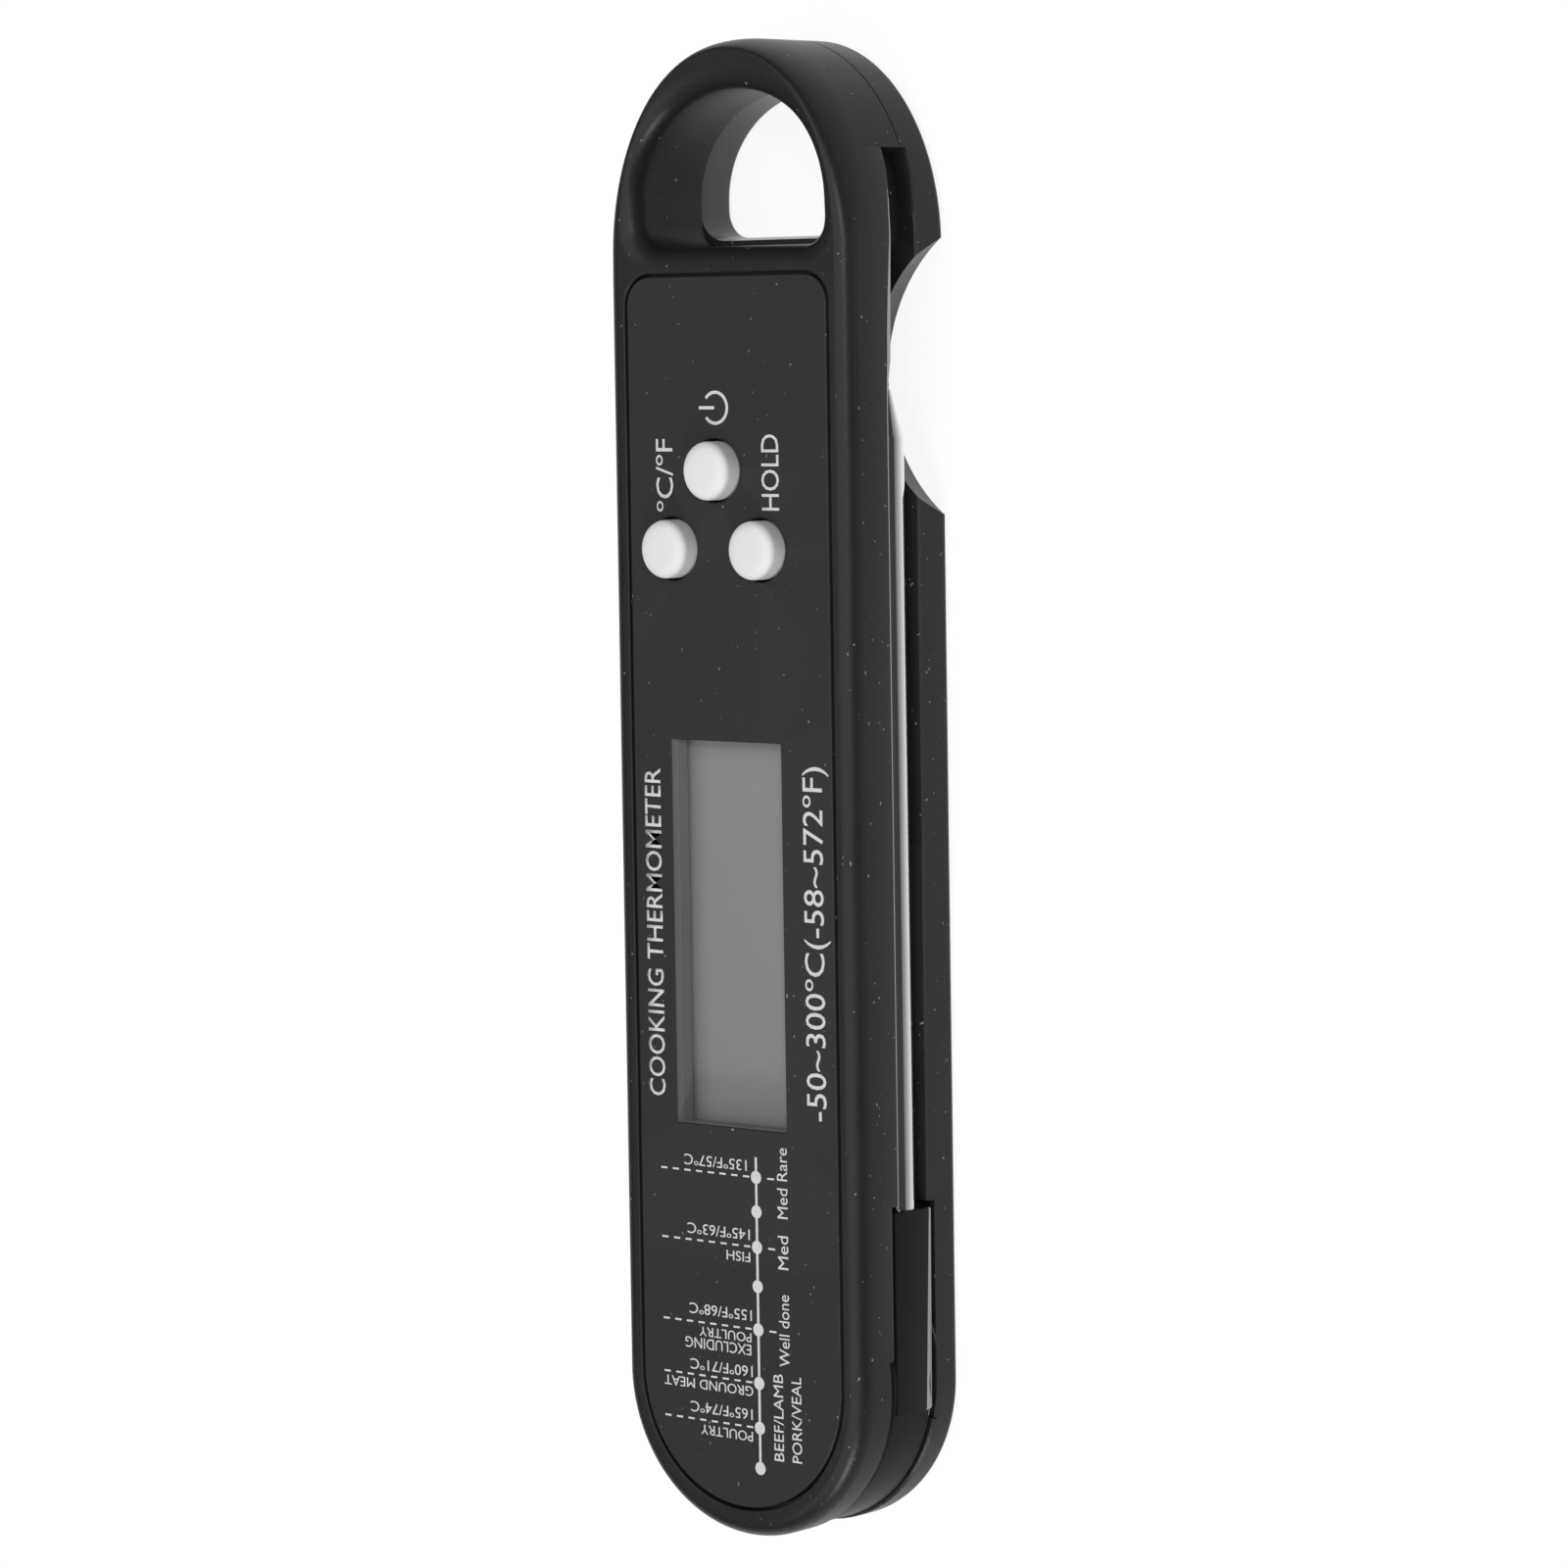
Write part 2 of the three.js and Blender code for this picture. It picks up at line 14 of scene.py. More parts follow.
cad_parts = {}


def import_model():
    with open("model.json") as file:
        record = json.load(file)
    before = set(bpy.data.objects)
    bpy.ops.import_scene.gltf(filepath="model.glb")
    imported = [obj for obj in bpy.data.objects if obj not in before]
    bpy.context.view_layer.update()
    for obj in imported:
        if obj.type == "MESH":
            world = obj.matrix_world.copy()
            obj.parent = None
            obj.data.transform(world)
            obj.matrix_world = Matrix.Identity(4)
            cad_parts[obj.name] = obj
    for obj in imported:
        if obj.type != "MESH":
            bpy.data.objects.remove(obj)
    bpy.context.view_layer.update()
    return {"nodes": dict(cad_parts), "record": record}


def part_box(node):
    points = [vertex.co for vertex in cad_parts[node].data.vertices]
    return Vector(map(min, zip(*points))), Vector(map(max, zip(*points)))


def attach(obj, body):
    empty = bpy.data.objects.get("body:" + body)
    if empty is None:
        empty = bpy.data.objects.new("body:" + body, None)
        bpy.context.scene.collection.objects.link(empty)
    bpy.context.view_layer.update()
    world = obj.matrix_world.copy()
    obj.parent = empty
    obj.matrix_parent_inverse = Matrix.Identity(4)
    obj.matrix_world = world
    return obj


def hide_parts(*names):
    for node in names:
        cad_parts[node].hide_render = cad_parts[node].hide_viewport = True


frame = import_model()

MM = 0.001


def mm_box(node):
    """Lowest and highest corner of a CAD node, in millimetres."""
    low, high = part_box(node)
    return low / MM, high / MM


def mm_centre(node):
    low, high = mm_box(node)
    return (low + high) / 2


# ---------- driving dimensions ----------
SHELL_HIGH = mm_box("front_shell")[1]
PLATE_LOW, PLATE_HIGH = mm_box("face_plate")
HALF_L = SHELL_HIGH.x
HALF_W = SHELL_HIGH.y
FACE = SHELL_HIGH.z                       # height of the front face
PIVOT = -HALF_L + HALF_W                  # probe hinge, on the centreline
NOSE = 21.7                               # length of the elliptical loop end
NOSE_X = HALF_L - NOSE
NOSE_BLEND = 4                            # how far before it the edge rounding starts to change
SPLIT = 5.0                               # joint between the shells
SPLIT_LINE = 0.03                         # half of the fine gap seen at the joint
SPLIT_EDGE = 0.08                         # fine chamfer of both shells at the joint
SIDE_ROUND = 1.84                         # front edge rounding along the sides
NOSE_ROUND = (1.3, 5.2)                   # across and down, at the tip of the loop
BACK_ROUND = 1.2
LOOP_X, LOOP_RX, LOOP_RY = 62.5, 11.2, 12.7
LOOP_FLAT, LOOP_FLAT_BACK, LOOP_CORNER = 57.4, 58.5, 3.0
LOOP_RIM, RIM_SHARE = 2.4, 0.94           # rim rounding, and the most it takes of a narrow wall
BACK_RIM = 0.9                            # the same rounding at the back
BACK_DRAFT, BACK_MOUTH = 0.35, 0.45       # how far the back shell's loop wall leans out at the joint
GROOVE = 0.34                             # round the face plate
LEDGE = PLATE_LOW.z                       # what the face plate lies on
WINDOW = (-35.2, 5.6, -6.75, 8.45)        # x0, x1, y0, y1
LENS_LOW, LENS_HIGH = mm_box("window_lens")
ROOF = 13.2                               # inner roof of the casing
CAVITY = (-44.0, 54.0, -10.0, 15.1)
SLOT_Z = (SPLIT, 9.8)
SLOT_END = 67.3
SLOT_DEEP, SLOT_SHALLOW = 5.2, 2.0
SLOT_LIP = 0.24                           # fine bevel along the slot's upper edge
SCOOP_LIP = 0.95                          # the same edge where the finger scoop opens
SLOT_LOW_LIP = 0.34                       # bevel along its lower edge
SCOOP_DROP = 0.85                         # how far the slot's upper edge sinks at the scoop
TIP_DROP = 0.75                           # how far the whole slot sinks towards the loop
SCOOP_RUN, TIP_RUN = (42, 46), (59.5, 67) # along X, where it sinks
LIP_FADE = (46, 63)                       # where the scoop's wide lip narrows again
SHALLOW_RUN = (55, 57.5)                  # where the slot gets shallower for the tip
ARM_SLOT = (-66.4, -42.9, 3.6, 10.9)      # x0, x1, z0, z1
ARM_DEEP = 5.6
ARM_LIP, ARM_LOW_LIP = 0.3, 0.35
HUB_SLOT = (3.9, 11.2)
HUB_REACH = 6.6                           # how far past the pivot the slot runs on the other side
HUB_LIP = 0.55                            # chamfer round the hub's slot
HUB_ROOM = HALF_W + 0.3                   # radius of the cutters that pass the casing's round end
POST = 4.2                                # radius of the hinge post
NOTCH = (43.5, -26.9, 18.0, 16.2)         # finger scoop: x, y, radius at the back, radius at the joint
BUTTONS = ("power", "unit", "hold")
BUTTON_R, BUTTON_HOLE, BUTTON_WELL = 3.08, 3.36, 3.4
BUTTON_DOME, BUTTON_CROWN = 0.95, 0.36    # height of the rounded top, and how square its edge is
COVER = mm_centre("battery_cover")
COVER_R = (mm_box("battery_cover")[1].x - mm_box("battery_cover")[0].x) / 2
COVER_SEAT, COVER_THROAT = 1.25, 11.9     # depth of the cover's seat, radius of the way in behind it
SCREW_WELL, SCREW_WAY = 2.6, 1.5          # radius round a screw's head and round its shank
SCREW_SUNK = 1.8                          # depth of the head's well
SCREWS = [f"case_screw_{i}" for i in range(1, 5)] + ["pivot_screw"]
STEP = math.radians(2.5)                  # spacing of points on curved outlines


# ---------- mesh tools ----------
class Solid:
    """A closed mesh made of rings of points, in millimetres."""

    def __init__(self):
        self.points = []
        self.faces = []

    def ring(self, points):
        first = len(self.points)
        self.points += [tuple(p) for p in points]
        return list(range(first, len(self.points)))

    def skin(self, *rings):
        for a, b in zip(rings, rings[1:]):
            for i in range(len(a)):
                j = (i + 1) % len(a)
                self.faces.append((a[i], a[j], b[j], b[i]))

    def cap(self, outer, *holes):
        """Fills a level ring, leaving the holes open."""
        rings = [outer, *holes]
        index = [i for r in rings for i in r]
        flat = [Vector(self.points[i][:2]) for i in index]
        edges, first = [], 0
        for r in rings:
            edges += [(first + i, first + (i + 1) % len(r)) for i in range(len(r))]
            first += len(r)
        verts, _, tris, source, _, _ = delaunay_2d_cdt(flat, edges, [], 0, 1e-5)
        for t in tris:
            middle = sum((verts[i] for i in t), Vector((0, 0))) / 3
            if sum(inside(middle, [self.points[i] for i in r]) for r in rings) == 1:
                self.faces.append(tuple(index[source[i][0]] for i in t))

    def mesh(self, name):
        data = bpy.data.meshes.new(name)
        data.from_pydata([(x * MM, y * MM, z * MM) for x, y, z in self.points], [], self.faces)
        out = bpy.data.objects.new(name, data)
        bpy.context.scene.collection.objects.link(out)
        tidy(out)
        return out


def inside(p, ring):
    odd = False
    for i in range(len(ring)):
        (ax, ay), (bx, by) = ring[i][:2], ring[i - 1][:2]
        if (ay > p.y) != (by > p.y) and p.x < (bx - ax) * (p.y - ay) / (by - ay) + ax:
            odd = not odd
    return odd


def tidy(obj):
    bm = bmesh.new()
    bm.from_mesh(obj.data)
    bmesh.ops.remove_doubles(bm, verts=bm.verts, dist=1e-7)
    bmesh.ops.recalc_face_normals(bm, faces=bm.faces)
    bm.to_mesh(obj.data)
    bm.free()


def shade(obj, angle=32):
    """Smooth shading with hard edges where faces turn sharply or a level face begins."""
    bm = bmesh.new()
    bm.from_mesh(obj.data)
    for f in bm.faces:
        f.smooth = True
    for e in bm.edges:
        if len(e.link_faces) != 2:
            continue
        level = [abs(f.normal.z) > 0.99999 for f in e.link_faces]
        e.smooth = e.calc_face_angle(0) < math.radians(angle) and level[0] == level[1]
    bm.to_mesh(obj.data)
    bm.free()


def carve(obj, cutters, operation="DIFFERENCE"):
    """Cuts or joins closed meshes with exact booleans."""
    for tool in cutters:
        modifier = obj.modifiers.new("carve", "BOOLEAN")
        modifier.operation = operation
        modifier.solver = "EXACT"
        modifier.object = tool
        bpy.context.view_layer.update()
        made = bpy.data.meshes.new_from_object(obj.evaluated_get(bpy.context.evaluated_depsgraph_get()))
        obj.modifiers.clear()
        obj.data = made
        bpy.data.objects.remove(tool)
    tidy(obj)
    return obj


def lathe(name, profile, centre=(0, 0), sides=96):
    """Turns a profile of (radius, height) about a vertical line; its ends lie on that line."""
    solid = Solid()
    rings = []
    for r, z in profile:
        if r < 1e-6:
            rings.append(solid.ring([(centre[0], centre[1], z)] * sides))
        else:
            rings.append(solid.ring((centre[0] + r * math.cos(a), centre[1] + r * math.sin(a), z)
                                    for a in turns(sides)))
    solid.skin(*rings)
    return solid.mesh(name)


def turns(n):
    return [2 * math.pi * i / n for i in range(n)]


def arc(cx, cy, rx, ry, a0, a1, step=STEP):
    """Points with their outward directions, along an ellipse's arc."""
    n = max(2, math.ceil(abs(a1 - a0) / step))
    found = []
    for i in range(n + 1):
        a = a0 + (a1 - a0) * i / n
        direction = Vector((math.cos(a) / rx, math.sin(a) / ry)).normalized()
        found.append((cx + rx * math.cos(a), cy + ry * math.sin(a), direction.x, direction.y))
    return found


def line(x0, y0, x1, y1, n):
    """Points between two ends, without the ends, with the direction to the right of travel."""
    d = Vector((x1 - x0, y1 - y0)).normalized()
    return [(x0 + (x1 - x0) * i / n, y0 + (y1 - y0) * i / n, d.y, -d.x) for i in range(1, n)]


def case_outline():
    w, q = HALF_W, math.pi / 2
    return (arc(NOSE_X, 0, NOSE, w, -q, q) + line(NOSE_X, w, PIVOT, w, 40)
            + arc(PIVOT, 0, w, w, q, 3 * q) + line(PIVOT, -w, NOSE_X, -w, 40))


def loop_outline(flat):
    r, q, ry = LOOP_CORNER, math.pi / 2, LOOP_RY
    fine = math.radians(7)
    return (arc(LOOP_X, 0, LOOP_RX, ry, -q, q) + arc(flat + r, ry - r, r, r, q, 2 * q, fine)
            + line(flat, ry - r, flat, r - ry, 10) + arc(flat + r, r - ry, r, r, 2 * q, 3 * q, fine))


def plate_outline():
    w, q, r = PLATE_HIGH.y, math.pi / 2, 3.0
    x0, x1 = PLATE_LOW.x, PLATE_HIGH.x
    fine = math.radians(6)
    return (arc(x1 - r, -w + r, r, r, -q, 0, fine) + line(x1, -w + r, x1, w - r, 8)
            + arc(x1 - r, w - r, r, r, 0, q, fine) + line(x1 - r, w, x0 + w, w, 40)
            + arc(x0 + w, 0, w, w, q, 3 * q) + line(x0 + w, -w, x1 - r, -w, 40))


def circle_outline(x, y, r, sides=72):
    return [(x + r * math.cos(a), y + r * math.sin(a), math.cos(a), math.sin(a)) for a in turns(sides)]


def box_outline(x0, x1, y0, y1, r=0.4):
    q, fine = math.pi / 2, math.radians(22.5)
    return (arc(x1 - r, y0 + r, r, r, -q, 0, fine) + arc(x1 - r, y1 - r, r, r, 0, q, fine)
            + arc(x0 + r, y1 - r, r, r, q, 2 * q, fine) + arc(x0 + r, y0 + r, r, r, 2 * q, 3 * q, fine))


def level(outline, grow, z):
    """The outline at height z, moved outwards by grow, which is a number or one for each point."""
    many = isinstance(grow, (list, tuple))
    high = isinstance(z, (list, tuple))
    return [(x + nx * (grow[i] if many else grow), y + ny * (grow[i] if many else grow), z[i] if high else z)
            for i, (x, y, nx, ny) in enumerate(outline)]


def quarter(n, end=90):
    """Pairs from (0, 0) to (1, 1) round a quarter turn: along the flat first, then down."""
    top = math.radians(end)
    return [(math.sin(top * i / n) / math.sin(top), (1 - math.cos(top * i / n)) / (1 - math.cos(top)))
            for i in range(n + 1)]


def flared_drum(name, x, y, z0, z1, r, lip, sides):
    """A closed disc for cutting, whose rim flares by lip to leave a chamfer on what it cuts."""
    profile = [(0, z0), (r - lip, z0), (r, z0 - lip), (r, z1 + lip), (r - lip, z1), (0, z1)]
    return lathe(name, profile, (x, y), sides)


def slab(name, x0, x1, y0, y1, z0, z1):
    solid = Solid()
    rings = [solid.ring([(x0, y0, z), (x1, y0, z), (x1, y1, z), (x0, y1, z)]) for z in (z0, z1)]
    solid.skin(*rings)
    solid.faces += [tuple(rings[0]), tuple(rings[1])]
    return solid.mesh(name)


# ---------- casing ----------
def side_slot(name):
    """The room for the stowed probe: one closed cutter swept along the casing's side, with flared lips."""
    run = [p for p in case_outline() if p[1] < 0 and ARM_SLOT[0] < p[0] < SLOT_END]
    run.sort(key=lambda p: p[0])
    first = edge_point(ARM_SLOT[0])
    last = edge_point(SLOT_END)
    step_at = ARM_SLOT[1]
    before = [p for p in run if p[0] < step_at]
    after = [p for p in run if p[0] > step_at]
    step = (step_at, -HALF_W, 0, -1)
    stations = [(p, True) for p in [first, *before, step]] + [(p, False) for p in [step, *after, last]]
    solid = Solid()
    rings = []
    for (x, y, nx, ny), arm in stations:
        if arm:
            z0, z1 = ARM_SLOT[2:]
            lip, low_lip, deep = ARM_LIP, ARM_LOW_LIP, ARM_DEEP
        else:
            scoop, droop = part_way(x, SCOOP_RUN), part_way(x, TIP_RUN)
            lip = SLOT_LIP + (SCOOP_LIP - SLOT_LIP) * scoop * (1 - part_way(x, LIP_FADE))
            z0 = SLOT_Z[0] - TIP_DROP * droop
            z1 = SLOT_Z[1] - SCOOP_DROP * scoop - TIP_DROP * droop
            low_lip = SLOT_LOW_LIP
            deep = SLOT_DEEP + (SLOT_SHALLOW - SLOT_DEEP) * part_way(x, SHALLOW_RUN)
        draft = 0.3 * lip
        sill = z0 - low_lip * 0.6
        section = [(deep, z0), (low_lip, z0), (0, sill), (-2, sill), (-2, z1 + lip), (0, z1 + lip)]
        section += [(draft * 0.3, z1 + lip * 0.6), (draft * 0.75, z1 + lip * 0.15)]
        section += [(draft + 0.1, z1), (deep, z1)]
        rings.append(solid.ring((x - nx * d, y - ny * d, z) for d, z in section))
    solid.skin(*rings)
    solid.faces += [tuple(rings[0]), tuple(rings[-1])]
    return solid.mesh(name)


def ease(t):
    t = min(1.0, max(0.0, t))
    return t * t * (3 - 2 * t)


def part_way(x, run):
    """From 0 to 1, eased, as x goes from the start of the run to its end."""
    return ease((x - run[0]) / (run[1] - run[0]))


def edge_point(x):
    """The point of the casing's -Y side at x, with its outward direction."""
    if x > NOSE_X:
        a = -math.acos((x - NOSE_X) / NOSE)
        return arc(NOSE_X, 0, NOSE, HALF_W, a, a + 1e-9)[0]
    if x < PIVOT:
        a = -math.acos((x - PIVOT) / HALF_W)
        return arc(PIVOT, 0, HALF_W, HALF_W, a, a + 1e-9)[0]
    return (x, -HALF_W, 0, -1)


def hub_room():
    return [flared_drum("cut_hub", PIVOT, 0, *HUB_SLOT, HUB_ROOM, HUB_LIP, 144),
            slab("cut_sweep", -HALF_L - 2, PIVOT + HUB_REACH, 0.1, HALF_W + 2, *HUB_SLOT)]


def probe_room():
    return [side_slot("cut_slot"), *hub_room()]


def nose_share(x):
    start = NOSE_X - NOSE_BLEND
    return ease((x - start) / (HALF_L - start)) if x > start else 0.0


def rim_widths(hole, outline, across):
    """How wide the loop's rim rounds off at each point, which is less where the loop is narrow."""
    widths = []
    for x, y, _, _ in hole:
        gap, i = min((math.hypot(x - p[0], y - p[1]), i) for i, p in enumerate(outline))
        widths.append(min(LOOP_RIM, RIM_SHARE * (gap - across[i])))
    return widths


def front_case():
    outline = case_outline()
    share = [nose_share(p[0]) for p in outline]
    across = [SIDE_ROUND + (NOSE_ROUND[0] - SIDE_ROUND) * n for n in share]
    down = [SIDE_ROUND + (NOSE_ROUND[1] - SIDE_ROUND) * n for n in share]
    bottom = SPLIT + SPLIT_LINE
    s = Solid()
    outer = [s.ring(level(outline, [-w * (1 - u) for w in across], [FACE - h * v for h in down]))
             for u, v in quarter(14, 82)]
    outer += [s.ring(level(outline, 0, bottom + SPLIT_EDGE)), s.ring(level(outline, -SPLIT_EDGE, bottom))]
    s.skin(*outer)
    hole = loop_outline(LOOP_FLAT)
    rim = rim_widths(hole, outline, across)
    loop = [s.ring(level(hole, [w * (1 - u) for w in rim], FACE - LOOP_RIM * v)) for u, v in quarter(12)]
    loop += [s.ring(level(hole, 0, bottom + SPLIT_EDGE)), s.ring(level(hole, SPLIT_EDGE, bottom))]
    s.skin(*loop)
    seat = plate_outline()
    recess = [s.ring(level(seat, GROOVE + 0.16 * (1 - u), FACE - 0.16 * v)) for u, v in quarter(4)]
    recess.append(s.ring(level(seat, GROOVE, LEDGE)))
    s.skin(*recess)
    s.cap(outer[0], loop[0], recess[0])
    window = box_outline(*WINDOW, 0.15)
    room = 0.3
    pocket = box_outline(LENS_LOW.x - room, LENS_HIGH.x + room, LENS_LOW.y - room, LENS_HIGH.y + room)
    shelf = LENS_HIGH.z + 0.05
    window_rings = [s.ring(level(window, 0, z)) for z in (LEDGE, shelf)]
    pocket_rings = [s.ring(level(pocket, 0, z)) for z in (shelf, ROOF)]
    s.skin(*window_rings)
    s.skin(*pocket_rings)
    s.cap(pocket_rings[0], window_rings[1])
    wells = []
    for name in BUTTONS:
        spot = mm_centre(f"button_{name}")
        wells.append([s.ring(level(circle_outline(spot.x, spot.y, BUTTON_WELL), 0, z)) for z in (LEDGE, ROOF)])
        s.skin(*wells[-1])
    s.cap(recess[-1], window_rings[0], *(w[0] for w in wells))
    inner = box_outline(*CAVITY, 1.0)
    room_rings = [s.ring(level(inner, 0, z)) for z in (ROOF, bottom)]
    s.skin(*room_rings)
    s.cap(room_rings[0], pocket_rings[1], *(w[1] for w in wells))
    s.cap(outer[-1], loop[-1], room_rings[1])
    shell = carve(s.mesh("front_case"), probe_room())
    shade(shell)
    return shell


def back_case():
    outline = case_outline()
    top = SPLIT - SPLIT_LINE
    s = Solid()
    outer = [s.ring(level(outline, -BACK_ROUND * (1 - u), BACK_ROUND * v)) for u, v in quarter(10)]
    outer += [s.ring(level(outline, 0, top - SPLIT_EDGE)), s.ring(level(outline, -SPLIT_EDGE, top))]
    s.skin(*outer)
    hole = loop_outline(LOOP_FLAT_BACK)
    loop = [s.ring(level(hole, BACK_RIM * (1 - u), BACK_RIM * v)) for u, v in quarter(8)]
    loop += [s.ring(level(hole, BACK_DRAFT, top - 0.1)), s.ring(level(hole, BACK_MOUTH, top))]
    s.skin(*loop)
    seat = circle_outline(COVER.x, COVER.y, COVER_R + 0.25, 120)
    throat = circle_outline(COVER.x, COVER.y, COVER_THROAT, 96)
    cover_rings = [s.ring(level(seat, g, z)) for g, z in ((0.2, 0), (0, 0.2), (0, COVER_SEAT))]
    throat_rings = [s.ring(level(throat, 0, z)) for z in (COVER_SEAT, top)]
    s.skin(*cover_rings)
    s.skin(*throat_rings)
    s.cap(cover_rings[-1], throat_rings[0])
    wells, shanks = [], []
    for name in SCREWS:
        spot = mm_centre(name)
        well = circle_outline(spot.x, spot.y, SCREW_WELL, 48)
        shank = circle_outline(spot.x, spot.y, SCREW_WAY, 32)
        wells.append([s.ring(level(well, g, z)) for g, z in ((0.25, 0), (0, 0.25), (0, SCREW_SUNK))])
        shanks.append([s.ring(level(shank, 0, z)) for z in (SCREW_SUNK, top)])
        s.skin(*wells[-1])
        s.skin(*shanks[-1])
        s.cap(wells[-1][-1], shanks[-1][0])
    s.cap(outer[0], loop[0], cover_rings[0], *(w[0] for w in wells))
    s.cap(outer[-1], loop[-1], throat_rings[1], *(k[1] for k in shanks))
    x, y, r0, r1 = NOTCH
    slope = (r0 - r1) / SPLIT
    edge = 0.5
    cone = [(0, -1), (r0 + edge + slope, -1), (r0 + edge, 0), (r0 - edge * slope, edge)]
    cone += [(r1 - slope, SPLIT + 1), (0, SPLIT + 1)]
    scoop = lathe("cut_scoop", cone, (x, y), 180)
    around = Solid()
    floor_z = HUB_SLOT[0]
    hub = [(POST, floor_z), (HUB_ROOM - HUB_LIP, floor_z), (HUB_ROOM, floor_z - HUB_LIP)]
    hub += [(HUB_ROOM, SPLIT + 2), (POST, SPLIT + 2)]
    hub_rings = [around.ring((PIVOT + r * math.cos(a), r * math.sin(a), z) for a in turns(144)) for r, z in hub]
    around.skin(*hub_rings, hub_rings[0])
    sweep = slab("cut_sweep", -HALF_L - 2, PIVOT + HUB_REACH, 4.5, HALF_W + 2, HUB_SLOT[0], HUB_SLOT[1])
    shell = carve(s.mesh("back_case"), [side_slot("cut_slot"), around.mesh("cut_hub"), sweep, scoop])
    shade(shell)
    return shell


# ---------- plate, print and display ----------
def face_plate():
    s = Solid()
    seat = plate_outline()
    edge, bevel, under = 0.14, 0.1, LEDGE + 0.02
    outer = [s.ring(level(seat, -edge * (1 - u), FACE - edge * v)) for u, v in quarter(4)]
    outer.append(s.ring(level(seat, 0, under)))
    s.skin(*outer)
    holes = [box_outline(*WINDOW, 0.15)]
    for name in BUTTONS:
        spot = mm_centre(f"button_{name}")
        holes.append(circle_outline(spot.x, spot.y, BUTTON_HOLE))
    tops, ends = [], []
    for hole in holes:
        rings = [s.ring(level(hole, g, z)) for g, z in ((bevel, FACE), (0, FACE - bevel), (0, under))]
        s.skin(*rings)
        tops.append(rings[0])
        ends.append(rings[-1])
    s.cap(outer[0], *tops)
    s.cap(outer[-1], *ends)
    plate = s.mesh("printed_plate")
    shade(plate)
    return plate


PRINT_LOW, PRINT_HIGH = FACE - 0.02, FACE + 0.03
CAP_HEIGHT = 0.729                        # of the built-in typeface at size 1
TITLE = "COOKING THERMOMETER"
# words, start and end along the line, foot and top of the capitals, which way they read, added weight
LEGENDS = [
    (TITLE, -32.6, 2.45, 10.1, 12.4, "right", 0.006),
    ("-50~300ºC(-58~572ºF)", -33.6, 3.4, -12.35, -9.55, "right", 0.0),
    ("ºC/ºF", 29.65, 37.31, 7.6, 10.05, "right", 0.0),
    ("HOLD", 29.9, 37.8, -7.1, -4.6, "right", 0.0),
    ("Med Rare", -44.33, -36.84, -6.8, -5.3, "right", 0.0),
    ("Med", -49.73, -46.17, -6.8, -5.3, "right", 0.0),
    ("Well done", -60.05, -52.4, -6.8, -5.3, "right", 0.0),
    ("BEEF/LAMB", -70.18, -60.91, -5.8, -4.4, "right", 0.0),
    ("PORK/VEAL", -70.1, -60.96, -8.3, -6.9, "right", 0.0),
    ("135ºF/57ºC", -1.2, 7.55, -38.55, -39.75, "up", 0.0),
    ("145ºF/63ºC", -1.5, 7.25, -45.9, -47.1, "up", 0.0),
    ("155ºF/68ºC", -1.6, 7.15, -54.5, -55.7, "up", 0.0),
    ("160ºF/71ºC", -1.6, 7.15, -60.5, -61.7, "up", 0.0),
    ("165ºF/74ºC", -1.5, 7.2, -65.1, -66.3, "up", 0.0),
    ("FISH", -1.5, 1.8, -48.35, -49.45, "up", 0.0),
    ("POULTRY", -1.5, 5.8, -56.95, -58.0, "up", 0.0),
    ("EXCLUDING", -1.45, 7.8, -58.2, -59.4, "up", 0.0),
    ("GROUND MEAT", -1.65, 10.9, -62.65, -63.75, "up", 0.0),
    ("POULTRY", -1.5, 5.8, -67.5, -68.6, "up", 0.0),
]
CHART_Y = -2.5
CHART_DOTS = (-40.26, -43.91, -47.69, -51.88, -56.48, -62.19, -66.98, -71.28)
CHART_END = -38.13
DOT_R = 0.7
DASHED = (0, 2, 4, 5, 6)                  # dots with a dashed leader
TICKED = (0, 2, 4)                        # dots with a short tick
DASHES, DASH_FROM, DASH_PITCH, DASH_LONG = 8, -1.55, 1.65, 0.87


def legend(text, start, end, base, cap, way, weight, tag):
    """Thin raised lettering, stretched to its length and cap height."""
    curve = bpy.data.curves.new("legend", "FONT")
    curve.body = text
    curve.size = 1
    curve.offset = weight
    curve.resolution_u = 3
    curve.fill_mode = "BOTH"
    holder = bpy.data.objects.new("legend", curve)
    bpy.context.scene.collection.objects.link(holder)
    bpy.context.view_layer.update()
    data = bpy.data.meshes.new_from_object(holder.evaluated_get(bpy.context.evaluated_depsgraph_get()))
    bpy.data.objects.remove(holder)
    xs = [v.co.x for v in data.vertices]
    ys = [v.co.y for v in data.vertices]
    stretch = (end - start) / (max(xs) - min(xs))
    rise = (cap - base) / (max(ys) - min(ys) if text == TITLE else CAP_HEIGHT)
    left = min(xs)
    for v in data.vertices:
        run, up = start + (v.co.x - left) * stretch, base + v.co.y * rise
        x, y = (run, up) if way == "right" else (up, run)
        v.co = (x * MM, y * MM, PRINT_HIGH * MM)
    out = bpy.data.objects.new(f"print_{tag}", data)
    bpy.context.scene.collection.objects.link(out)
    thicken(out)
    return out


def thicken(obj):
    """Gives a flat sheet of print its thickness, down into the plate."""
    bm = bmesh.new()
    bm.from_mesh(obj.data)
    bmesh.ops.remove_doubles(bm, verts=bm.verts, dist=2e-6)
    made = bmesh.ops.extrude_face_region(bm, geom=bm.faces[:])
    down = [g for g in made["geom"] if isinstance(g, bmesh.types.BMVert)]
    bmesh.ops.translate(bm, verts=down, vec=(0, 0, (PRINT_LOW - PRINT_HIGH) * MM))
    bmesh.ops.recalc_face_normals(bm, faces=bm.faces)
    bm.to_mesh(obj.data)
    bm.free()


